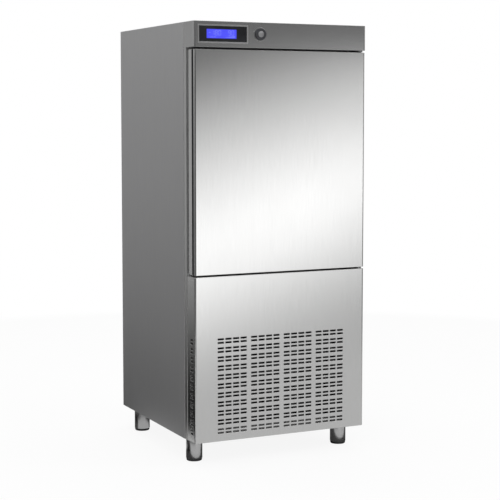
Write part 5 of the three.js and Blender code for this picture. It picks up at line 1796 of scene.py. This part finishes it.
@dataclass
class Motor:
    """A ribbed fan motor on four arms.

    Attributes:
        node: Its CAD node.
        radius: Radius of its case.
        length: Length of its case.
        shaft_length: Length of the shaft in front of the case.
        arm_reach: Radius over the arms.
        arm_forward: How far the arms' ends reach forward of the case.
        ribs: Number of ribs round the case.
        rib_depth: Depth of the grooves between them.
        shaft: Radius of the shaft.
        arm: Half of an arm's width.
    """

    node: str
    radius: float
    length: float
    shaft_length: float
    arm_reach: float
    arm_forward: float
    ribs: int = 7
    rib_depth: float = 0.0022
    shaft: float = 0.005
    arm: float = 0.007

    def outline(self) -> list[tuple[float, float]]:
        """Draws half of the ribbed case.

        Returns:
            Its outline as (radius, distance from the front) pairs.
        """
        r, end = self.radius, self.length
        groove = r - self.rib_depth
        drawn = [(0.0, 0.0), (r * 0.55, 0.0), (r * 0.6, 0.002), (r * 0.93, 0.0045), (r, 0.009)]
        step = (end - 0.022) / self.ribs
        for i in range(self.ribs):
            start = 0.010 + i * step
            drawn += [(r, start), (r, start + step * 0.55)]
            drawn += [(groove, start + step * 0.65), (groove, start + step * 0.95)]
        return drawn + [(r, end - 0.011), (r - 0.003, end - 0.003), (r - 0.009, end), (0.0, end)]

    def shape(self) -> Shape:
        """Builds case, shaft and arms.

        Returns:
            The motor's shape.
        """
        centre = middle(self.node)
        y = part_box(self.node)[1].y - self.length
        end, edge = self.shaft_length + 0.001, 0.0006
        tip = self.shaft - 0.0004
        shaft = ((0.0, 0.0), (tip, 0.0), (self.shaft, edge), (self.shaft, end), (0.0, end))
        made = Shape().turned(self.outline(), (centre.x, y, centre.z), -FORWARD, sides=56)
        made.turned(shaft, (centre.x, y - self.shaft_length, centre.z), -FORWARD, sides=24)
        outer = (self.arm_reach, 0.009, self.arm)
        inner = (self.radius - 0.006, 0.006, -self.arm)
        tongue = (self.arm_reach - 0.003, -self.arm_forward, -self.arm)
        for i in range(4):
            turn = Matrix.Rotation(math.radians(45 + 90 * i), 4, "Y")
            place = Matrix.Translation((centre.x, y, centre.z)) @ turn
            for corner in (inner, tongue):
                made.add(Shape().box(corner, outer, 0.0008), place)
        return made


@dataclass
class WireGuard:
    """A guard of welded wire rings and spokes.

    Attributes:
        centre: Middle of its back face.
        radius: Radius over the outer ring.
        rings: Number of rings.
        spokes: Number of spokes.
        wire: Radius of the wire.
        eye: Radius of the middle disc.
        depth: Distance between its back face and the rings' front.
    """

    centre: Vector
    radius: float
    rings: int = 9
    spokes: int = 8
    wire: float = 0.0014
    eye: float = 0.026
    depth: float = 0.0042

    def shape(self) -> Shape:
        """Builds the guard.

        Returns:
            Its shape.
        """
        made = Shape()
        centre, y = self.centre, self.centre.y
        outer = self.radius - self.wire
        for i in range(self.rings):
            radius = self.eye + (outer - self.eye) * (i + 1) / self.rings
            turns = [2 * math.pi * k / 56 for k in range(56)]
            points = [on_ring(centre, radius, turn, y - self.depth + self.wire) for turn in turns]
            made.tube(points, self.wire, 8, closed=True)
        for i in range(self.spokes):
            turn = math.pi / self.spokes + 2 * math.pi * i / self.spokes
            reaches = spaced(self.eye * 0.9, outer, 3)
            points = [on_ring(centre, reach, turn, y - self.wire) for reach in reaches]
            made.tube(points, self.wire, 8)
        rim = self.eye - 0.001
        disc = ((0.0, 0.0), (self.eye, 0.0), (self.eye, 0.001), (rim, 0.0016), (0.0, 0.0016))
        made.turned(disc, (centre.x, y - 0.0026, centre.z), FORWARD, sides=48)
        return made


class Level(Enum):
    """Which of the chamber's two fans."""

    LOWER = "lower"
    UPPER = "upper"


@dataclass
class Chamber(Assembly):
    """What stands in the cold chamber: racks, cowl, fans, guards and coil.

    Attributes:
        screw_inset: Distance of the cowl's screws from its edge.
        screws_up: Number of screws along each side of the cowl.
        guard_screw: Radius of a guard screw's head.
    """

    screw_inset: float = 0.014
    screws_up: int = 5
    guard_screw: float = 0.0045

    def build(self) -> None:
        """Dresses racks and cowl, and replaces fans, guards, motors and coil."""
        self.dress(RACK_STEEL, "tray_rack_left", "tray_rack_right")
        self.dress(COWL_STEEL, "fan_cowl")
        low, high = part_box("fan_cowl")
        inset = self.screw_inset
        rows = spaced(low.z + inset, high.z - inset, self.screws_up)
        places = [(x, low.y, z) for x in (low.x + inset, high.x - inset) for z in rows]
        self.screws("fan_cowl_screws", places, FORWARD)
        self.coil()
        for level in Level:
            self.fan(level)

    def coil(self) -> None:
        """Replaces the evaporator block by fins, tubes and end plates."""
        low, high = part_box("evaporator_coil")
        first = Vector((low.x + 0.010, low.y + 0.006, low.z + 0.006))
        last = Vector((high.x - 0.010, high.y - 0.002, high.z - 0.006))
        pack = FinPack(first, last, pitch=0.006, rows=3, tube_pitch=0.048, bend=0.0)
        fins = pack.fins()
        pack.add_plates(fins, low, high, 0.0015)
        self.place(fins.object("evaporator_fins", FIN_METAL), Slot.FINS, "evaporator_coil")
        pack.low.x, pack.high.x = low.x + 0.001, high.x - 0.001
        self.place(pack.tubes().object("evaporator_tubes", COPPER), Slot.COPPER)

    def fan(self, level: Level) -> None:
        """Replaces one fan with its guard and motor.

        Args:
            level: Which fan.
        """
        place = level.value
        low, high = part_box(f"fan_guard_{place}")
        centre = middle(f"fan_guard_{place}")
        guard = WireGuard(Vector((centre.x, high.y, centre.z)), (high.x - low.x) / 2)
        made = guard.shape().object(f"wire_guard_{place}", WIRE_STEEL)
        self.place(made, Slot.STEEL, f"fan_guard_{place}")
        reach, depth = guard.radius - 0.006, high.y - 0.0024
        places = [on_ring(centre, reach, math.pi * i / 2, depth) for i in range(4)]
        self.screws(f"fan_guard_screws_{place}", places, FORWARD, radius=self.guard_screw)
        motor = Motor(
            f"evaporator_motor_{place}",
            radius=0.038,
            length=0.048,
            shaft_length=0.028,
            arm_reach=0.140,
            arm_forward=0.0355,
        )
        made = motor.shape().object(f"fan_motor_{place}", MOTOR_ENAMEL)
        self.place(made, Slot.ENAMEL, motor.node)
        node = f"evaporator_fan_{place}"
        hub_front = Vector((centre.x, middle(node).y - 0.015, centre.z))
        rotor = Rotor(hub_front, radius=0.121, hub=0.034, depth=0.030)
        made = rotor.shape().object(f"fan_rotor_{place}", FAN_PLASTIC)
        self.place(made, Slot.FAN_PLASTIC, node, body=f"evaporator_rotor_{place}")


# ------------------------------------------------------------------ refrigeration unit


@dataclass
class RefrigerationUnit(Assembly):
    """The machine bay: condenser, fan, compressor, vessels and pipes.

    Attributes:
        compressor_radius: Radius of the compressor's shell.
        receiver_radius: Radius of the liquid receiver.
        drier_radius: Radius of the filter drier.
        drier_neck: Radius of its necks.
        fin_height: Height of the condenser's fins.
        gland_bore: Radius of the cable gland's bore.
        gland_cap: Radius of its cap.
        gland_nut: Radius of its hexagon over the corners.
    """

    compressor_radius: float = 0.106
    receiver_radius: float = 0.055
    drier_radius: float = 0.021
    drier_neck: float = 0.008
    fin_height: float = 0.400
    gland_bore: float = 0.0066
    gland_cap: float = 0.015
    gland_nut: float = 0.017

    def build(self) -> None:
        """Dresses the bay's sheets and replaces its machines."""
        self.dress(ZINC, "condenser_shroud")
        self.dress(TRAY_STEEL, "condensate_tray")
        self.dress(SEAL_RUBBER, "compressor_mount")
        self.dress(COPPER, "discharge_pipe", "condenser_outlet_pipe", "liquid_pipe", "suction_pipe")
        self.condenser()
        self.condenser_fan()
        self.compressor()
        self.receiver()
        self.drier()
        self.gland()

    def condenser(self) -> None:
        """Replaces the grooved block by fins, tubes and end plates."""
        low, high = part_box("condenser_coil")
        left, top = -high.x, high.z - 0.004
        pack = FinPack(
            Vector((left + 0.006, low.y + 0.001, top - self.fin_height)),
            Vector((high.x - 0.006, high.y - 0.001, top)),
            pitch=0.006,
            rows=2,
            tube_pitch=0.036,
            bend=0.012,
        )
        fins = pack.fins()
        pack.add_plates(fins, Vector((left, low.y, low.z)), high, 0.002)
        # The condenser fins take the near-black painted-shade finish.
        self.place(fins.object("condenser_fins", SHADE_BLACK_FINS), Slot.FINS, "condenser_coil")
        self.place(pack.tubes().object("condenser_tubes", COPPER), Slot.COPPER)

    def condenser_fan(self) -> None:
        """Replaces the condenser's motor and rotor."""
        motor = Motor(
            "condenser_motor",
            radius=0.045,
            length=0.076,
            shaft_length=0.030,
            arm_reach=0.165,
            arm_forward=0.0277,
        )
        made = motor.shape().object("condenser_fan_motor", MOTOR_ENAMEL)
        self.place(made, Slot.ENAMEL, motor.node)
        centre = middle(motor.node)
        hub_front = Vector((centre.x, middle("condenser_fan").y - 0.016, centre.z))
        rotor = Rotor(hub_front, radius=0.143, hub=0.042, depth=0.032)
        made = rotor.shape().object("condenser_fan_rotor", BLADE_METAL)
        self.place(made, Slot.FINS, "condenser_fan", body="condenser_rotor")

    def compressor(self) -> None:
        """Replaces the compressor by a smooth welded shell with its terminal cover."""
        low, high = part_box("compressor")
        r, h = self.compressor_radius, high.z - low.z
        x, y, z = middle("compressor").x, low.y + r * 1.04, low.z
        profile = [(0.0, 0.0), (r * 0.7, 0.0)]
        for turn in (0.5, 0.8, 1.1, 1.35):
            profile.append((r * (0.7 + 0.3 * math.sin(turn)), h * 0.2 * (1 - math.cos(turn))))
        seam = ((1.0, 0.21), (1.0, 0.525), (1.02, 0.535), (1.035, 0.55), (1.02, 0.565))
        profile += [(r * a, h * b) for a, b in (*seam, (1.0, 0.575), (1.0, 0.74))]
        for turn in (0.2, 0.4, 0.6, 0.8, 1.0, 1.2, 1.4):
            profile.append((r * math.cos(turn), h * (0.74 + 0.26 * math.sin(turn))))
        profile.append((0.0, h))
        shell = Shape().turned(profile, (x, y, z), sides=72)
        reach, plate = r * 0.9, 0.004
        shell.box((x - reach, y - reach, z), (x + reach, y + reach, z + plate), 0.0012)
        half, base = 0.034, z + h * 0.25
        cover = ((x - half, y + r - 0.01, base), (x + half, y + r + 0.034, base + 0.084))
        shell.box(*cover, edge=0.005, steps=3)
        made = shell.object("compressor_shell", BLACK_ENAMEL)
        self.place(made, Slot.ENAMEL, "compressor")
        out = reach - 0.015
        places = [(x + i * out, y + j * out, z + plate) for i in (-1, 1) for j in (-1, 1)]
        self.screws("compressor_bolts", places, UP, radius=0.008)

    def receiver(self) -> None:
        """Replaces the liquid receiver by a smooth one on its foot ring."""
        low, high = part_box("liquid_receiver")
        centre = middle("liquid_receiver")
        r, h, dome, foot = self.receiver_radius, high.z - low.z - 0.012, 0.030, 0.014
        profile = [(0.0, foot), (r * 0.78, foot), (r * 0.78, 0.0), (r * 0.9, 0.0)]
        profile += [(r * 0.92, 0.002), (r * 0.98, 0.022), (r, 0.032), (r, h - dome)]
        for turn in (0.3, 0.6, 0.9, 1.2):
            profile.append((r * math.cos(turn), h - dome + dome * math.sin(turn)))
        profile += [(r * 0.2, h), (r * 0.2, h + 0.010), (r * 0.17, h + 0.012), (0.0, h + 0.012)]
        vessel = Shape().turned(profile, (centre.x, centre.y, low.z), sides=56)
        made = vessel.object("receiver_vessel", BLACK_ENAMEL)
        self.place(made, Slot.ENAMEL, "liquid_receiver")

    def drier(self) -> None:
        """Replaces the filter drier by a smooth spun one."""
        low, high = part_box("filter_drier")
        centre = middle("filter_drier")
        r, neck, h = self.drier_radius, self.drier_neck, high.z - low.z
        spun, rise = r - neck, 0.018 / (math.pi / 2)
        profile = [(0.0, 0.0), (neck - 0.0002, 0.0), (neck, 0.001), (neck, 0.012)]
        for turn in (0.4, 0.8, 1.2, 1.57):
            profile.append((neck + spun * math.sin(turn) ** 2, 0.012 + rise * turn))
        profile += [(r, h / 2 - 0.002), (r + 0.0006, h / 2), (r, h / 2 + 0.002)]
        for turn in (0.0, 0.4, 0.8, 1.2, 1.57):
            profile.append((neck + spun * math.cos(turn) ** 2, h - 0.030 + rise * turn))
        profile += [(neck, h - 0.001), (neck - 0.0002, h), (0.0, h)]
        drier = Shape().turned(profile, (centre.x, centre.y, low.z), sides=40)
        self.place(drier.object("drier_shell", COPPER), Slot.COPPER, "filter_drier")

    def gland(self) -> None:
        """Replaces the cable gland by one with a hexagon and a smooth cap."""
        low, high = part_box("power_inlet")
        centre = middle("power_inlet")
        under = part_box("side_panel_left")[0].z - 0.0003
        bore, cap, nut = self.gland_bore, self.gland_cap, self.gland_nut
        seat, top = under - 0.0072, under - 0.0070
        lower = [(bore, low.z), (0.0115, low.z), (cap - 0.001, low.z + 0.002)]
        lower += [(cap, low.z + 0.006), (cap, seat), (bore, seat)]
        upper = [(bore, top), (nut, top), (nut, under), (0.012, under), (0.012, high.z)]
        upper.append((bore, high.z))
        made = Shape().turned(lower, (centre.x, centre.y, 0), sides=36)
        made.turned(upper, (centre.x, centre.y, 0), sides=6)
        self.place(made.object("cable_gland", BLACK_PLASTIC), Slot.PLASTIC, "power_inlet")


# ------------------------------------------------------------------ studio


def flat(name: str, corners: Sequence[Point], look: str) -> tuple[bpy.types.Object, Graph]:
    """Adds a face with four corners and a material that has no nodes yet.

    Args:
        name: Its name.
        corners: Its corners in order.
        look: Name of its material.

    Returns:
        The object and its material's graph.
    """
    mesh = bpy.data.meshes.new(name)
    mesh.from_pydata(corners, [], [(0, 1, 2, 3)])
    made = bpy.data.objects.new(name, mesh)
    bpy.context.scene.collection.objects.link(made)
    mesh.materials.append(bpy.data.materials.new(look))
    return made, Graph.blank(mesh.materials[0])


@dataclass(frozen=True)
class ReflectionCard:
    """A large soft card that only polished surfaces see, as a photographer sets round steel.

    Attributes:
        name: Its name.
        low: Its lowest corner.
        high: The corner across from that. A card lies flat or stands upright.
        stops: (distance, brightness) pairs of its gradient, at least two, with growing distance.
        along: Direction of the gradient, on which the distances are measured.
        fade: Two (x, share) pairs between which its brightness falls off sideways, or None.
    """

    name: str
    low: Point
    high: Point
    stops: tuple[tuple[float, float], ...]
    along: Point = (0.0, 0.0, 1.0)
    fade: Optional[tuple[tuple[float, float], tuple[float, float]]] = None

    def corners(self) -> list[Point]:
        """Gives the card's four corners.

        Returns:
            The corners in order.
        """
        (x0, y0, z0), (x1, y1, z1) = self.low, self.high
        if z0 == z1:
            return [(x0, y0, z0), (x1, y0, z0), (x1, y1, z0), (x0, y1, z0)]
        return [(x0, y0, z0), (x1, y1, z0), (x1, y1, z1), (x0, y0, z1)]

    def build(self) -> None:
        """Builds the card with its gradient."""
        card, graph = flat(self.name, self.corners(), f"{self.name}_light")
        distance = graph.dot(graph.place(), self.along)
        start, end = self.stops[0][0], self.stops[-1][0]
        ramp = graph.add("ValToRGB", {"Fac": graph.spread(distance, start, end)})
        elements = ramp.color_ramp.elements
        while len(elements) < len(self.stops):
            elements.new(0.5)
        peak = max(brightness for _, brightness in self.stops)
        for element, (position, brightness) in zip(elements, self.stops):
            element.position = (position - start) / (end - start)
            element.color = (brightness / peak,) * 3 + (1.0,)
        light = graph.add("Emission", {"Color": ramp.outputs[0], "Strength": peak})
        if self.fade:
            (left, left_share), (right, right_share) = self.fade
            x = graph.add("SeparateXYZ", {0: graph.place()}).outputs["X"]
            strength = graph.spread(x, left, right, peak * left_share, peak * right_share)
            graph.feed(light.inputs["Strength"], strength)
        graph.add("OutputMaterial", {"Surface": light.outputs[0]})
        card.visible_camera = False
        card.visible_diffuse = False
        card.visible_shadow = False
        card.visible_transmission = False


@dataclass
class Studio:
    """A plain pale floor, soft lamps and the camera.

    Attributes:
        floor_reach: Half of the floor's width.
        floor_white: How far the floor near the object is plain white to the eye.
        camera_from: Where the camera stands, from the middle of the body's lower front edge.
        yaw: How far it looks to the right of +y, in radians.
        pitch: How far it looks up, in radians.
        focal_px: Its focal length in pixels of a 500 pixel frame.
        shift: Its vertical shift.
    """

    floor_reach: float = 30.0
    floor_white: float = 0.90
    camera_from: Point = (-2.518, -4.935, 1.334)
    yaw: float = 0.448
    pitch: float = -0.082
    focal_px: float = 1345.1
    shift: float = -0.05

    CARDS = (
        ReflectionCard(
            "card_front", (-3.4, -1.95, 0.01), (1.55, -1.95, 1.80),
            (
                (-0.10, 0.555), (0.10, 0.745), (0.30, 1.030), (0.44, 1.270), (0.58, 1.400),
                (0.72, 1.370), (0.98, 1.040), (1.26, 0.660), (1.45, 0.400), (1.62, 0.190),
                (2.50, 0.160),
            ),
            along=(-0.335, 0.0, 1.0),
            fade=((-0.75, 0.12), (0.0, 1.0)),
        ),
        ReflectionCard(
            "card_front_upper", (-3.4, -1.95, 1.80), (2.8, -1.95, 3.2),
            ((1.80, 0.160), (3.20, 0.240)),
            fade=((0.3, 1.04), (1.3, 0.82)),
        ),
        ReflectionCard(
            "card_front_edge", (1.55, -1.95, 0.01), (2.8, -1.95, 1.80),
            ((0.0, 0.10), (1.80, 0.14)),
        ),
        ReflectionCard(
            "card_floor_front", (-3.4, -1.95, 0.004), (2.8, -0.36, 0.004),
            ((-1.95, 0.565), (-0.36, 0.565)),
            along=(0.0, 1.0, 0.0),
        ),
        ReflectionCard(
            "card_left", (-3.4, -6.0, 0.02), (-3.4, 2.6, 3.5),
            ((0.0, 0.12), (0.7, 0.14), (1.3, 0.30), (2.0, 0.45), (3.5, 0.50)),
        ),
        ReflectionCard(
            "card_right", (2.8, -6.0, 0.02), (2.8, 5.0, 3.5),
            ((0.0, 0.16), (3.5, 0.50)),
        ),
        ReflectionCard(
            "card_behind_left", (-8.0, 6.0, 0.02), (-0.5, 6.0, 4.5),
            ((0.0, 0.32), (0.67, 0.39), (1.29, 0.39), (1.86, 0.37), (3.0, 0.34), (4.5, 0.34)),
        ),
        ReflectionCard(
            "card_floor_left", (-6.0, -0.36, 0.004), (-0.46, 6.0, 0.004),
            ((-0.30, 0.005), (1.2, 0.02), (3.5, 0.18), (6.0, 0.32)),
            along=(0.0, 1.0, 0.0),
        ),
        ReflectionCard(
            "card_floor_front_leg", (-0.55, -0.362, 0.006), (-0.20, -0.328, 0.006),
            ((0.0, 0.50), (1.0, 0.50)),
        ),
        ReflectionCard(
            "card_floor_rear_leg", (-0.60, -0.12, 0.006), (-0.22, 0.30, 0.006),
            ((0.0, 0.50), (1.0, 0.50)),
        ),
        ReflectionCard(
            "card_floor_under", (-0.46, -0.36, 0.004), (2.8, 5.0, 0.004),
            ((-0.40, 0.05), (5.0, 0.20)),
            along=(0.0, 1.0, 0.0),
        ),
    )

    def floor(self) -> None:
        """Builds the floor: matt to soft light, white to the eye and, far off, to reflections."""
        r = self.floor_reach
        corners = [(-r, -r, 0), (r, -r, 0), (r, r, 0), (-r, r, 0)]
        floor, graph = flat("floor", corners, "studio_floor")
        distance = graph.add("VectorMath", {0: graph.place()}, operation="LENGTH")
        far = graph.spread(distance.outputs["Value"], 1.2, 4.0)
        rays = graph.add("LightPath").outputs
        bounced = graph.larger(rays["Is Glossy Ray"], rays["Is Transmission Ray"])
        direct = graph.times(graph.larger(far, self.floor_white), rays["Is Camera Ray"])
        share = graph.larger(direct, graph.times(far, bounced))
        matt = graph.add("BsdfDiffuse", {"Color": (0.86, 0.86, 0.86, 1.0)}).outputs[0]
        white = graph.add("Emission", {"Color": (1.0, 1.0, 1.0, 1.0), "Strength": 1.0}).outputs[0]
        mixed = graph.add("MixShader", {0: share, 1: matt, 2: white}).outputs[0]
        graph.add("OutputMaterial", {"Surface": mixed})

    def world(self) -> None:
        """Makes the world white to the eye and to polished surfaces, and soft as a light."""
        world = bpy.data.worlds.new("studio_world")
        bpy.context.scene.world = world
        graph = Graph.blank(world)
        rays = graph.add("LightPath").outputs
        bounced = graph.larger(rays["Is Glossy Ray"], rays["Is Transmission Ray"])
        seen = graph.larger(rays["Is Camera Ray"], bounced)
        strength = graph.spread(seen, 0.0, 1.0, 0.62, 1.0)
        sky = graph.add("Background", {"Color": (1.0, 1.0, 1.0, 1.0), "Strength": strength})
        graph.add("OutputWorld", {"Surface": sky.outputs[0]})

    def lamp(
        self, name: str, place: Point, aim: float, size: float, power: float, mirrored: bool = True
    ) -> None:
        """Adds one large soft lamp.

        Args:
            name: Its name.
            place: Where it hangs.
            aim: Height of the point in the machine's middle that it points at.
            size: Width of its square face.
            power: Its power, in watts.
            mirrored: Whether polished surfaces show it.
        """
        data = bpy.data.lights.new(name, "AREA")
        data.shape = "SQUARE"
        data.size = size
        data.energy = power
        lamp = bpy.data.objects.new(name, data)
        lamp.location = place
        beam = Vector((0.0, 0.0, aim)) - Vector(place)
        lamp.rotation_euler = beam.to_track_quat("-Z", "Y").to_euler()
        lamp.visible_glossy = mirrored
        bpy.context.scene.collection.objects.link(lamp)

    def camera(self) -> None:
        """Sets the camera at the photograph's place and angle."""
        data = bpy.data.cameras.new("camera")
        data.sensor_width = 36.0
        data.lens = self.focal_px / 500.0 * 36.0
        data.shift_y = self.shift
        data.clip_end = 200.0
        camera = bpy.data.objects.new("camera", data)
        base = Vector((0.0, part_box("door_skin")[0].y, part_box("side_panel_left")[0].z))
        camera.location = base + Vector(self.camera_from)
        level = math.cos(self.pitch)
        ahead = (math.sin(self.yaw) * level, math.cos(self.yaw) * level, math.sin(self.pitch))
        camera.rotation_euler = Vector(ahead).to_track_quat("-Z", "Y").to_euler()
        bpy.context.scene.collection.objects.link(camera)
        bpy.context.scene.camera = camera

    def build(self) -> None:
        """Builds the whole studio."""
        bpy.context.scene.view_settings.view_transform = "Standard"
        self.floor()
        self.world()
        for card in self.CARDS:
            card.build()
        self.lamp("lamp_front_left", (-4.0, -4.5, 4.5), aim=0.9, size=3.0, power=110.0)
        self.lamp("lamp_front_right", (4.5, -3.5, 4.0), aim=0.9, size=3.0, power=80.0)
        self.lamp("lamp_top", (0.0, 1.0, 5.5), aim=0.5, size=3.5, power=90.0, mirrored=False)
        self.camera()
        log.info("studio built")


# ------------------------------------------------------------------ the machine


def clear_defaults() -> None:
    """Removes every object that isn't part of the CAD frame."""
    kept = set(frame["nodes"].values()) | set(frame["bodies"].values())
    for spare in [o for o in bpy.data.objects if o not in kept]:
        bpy.data.objects.remove(spare)


def main() -> None:
    """Builds every sub-assembly in order."""
    logging.basicConfig(level=logging.INFO, format="%(name)s: %(message)s")
    clear_defaults()
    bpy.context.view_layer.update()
    parts: list[Assembly] = [Cabinet(), LowerCover()]
    parts += [Leg(corner=corner) for corner in Corner]
    parts += [ControlHead(), Selector(), Door(), Hinges(), Chamber(), RefrigerationUnit()]
    for part in parts:
        part.build()
        log.info("%s done", type(part).__name__)
    Studio().build()


if __name__ == "__main__":
    main()
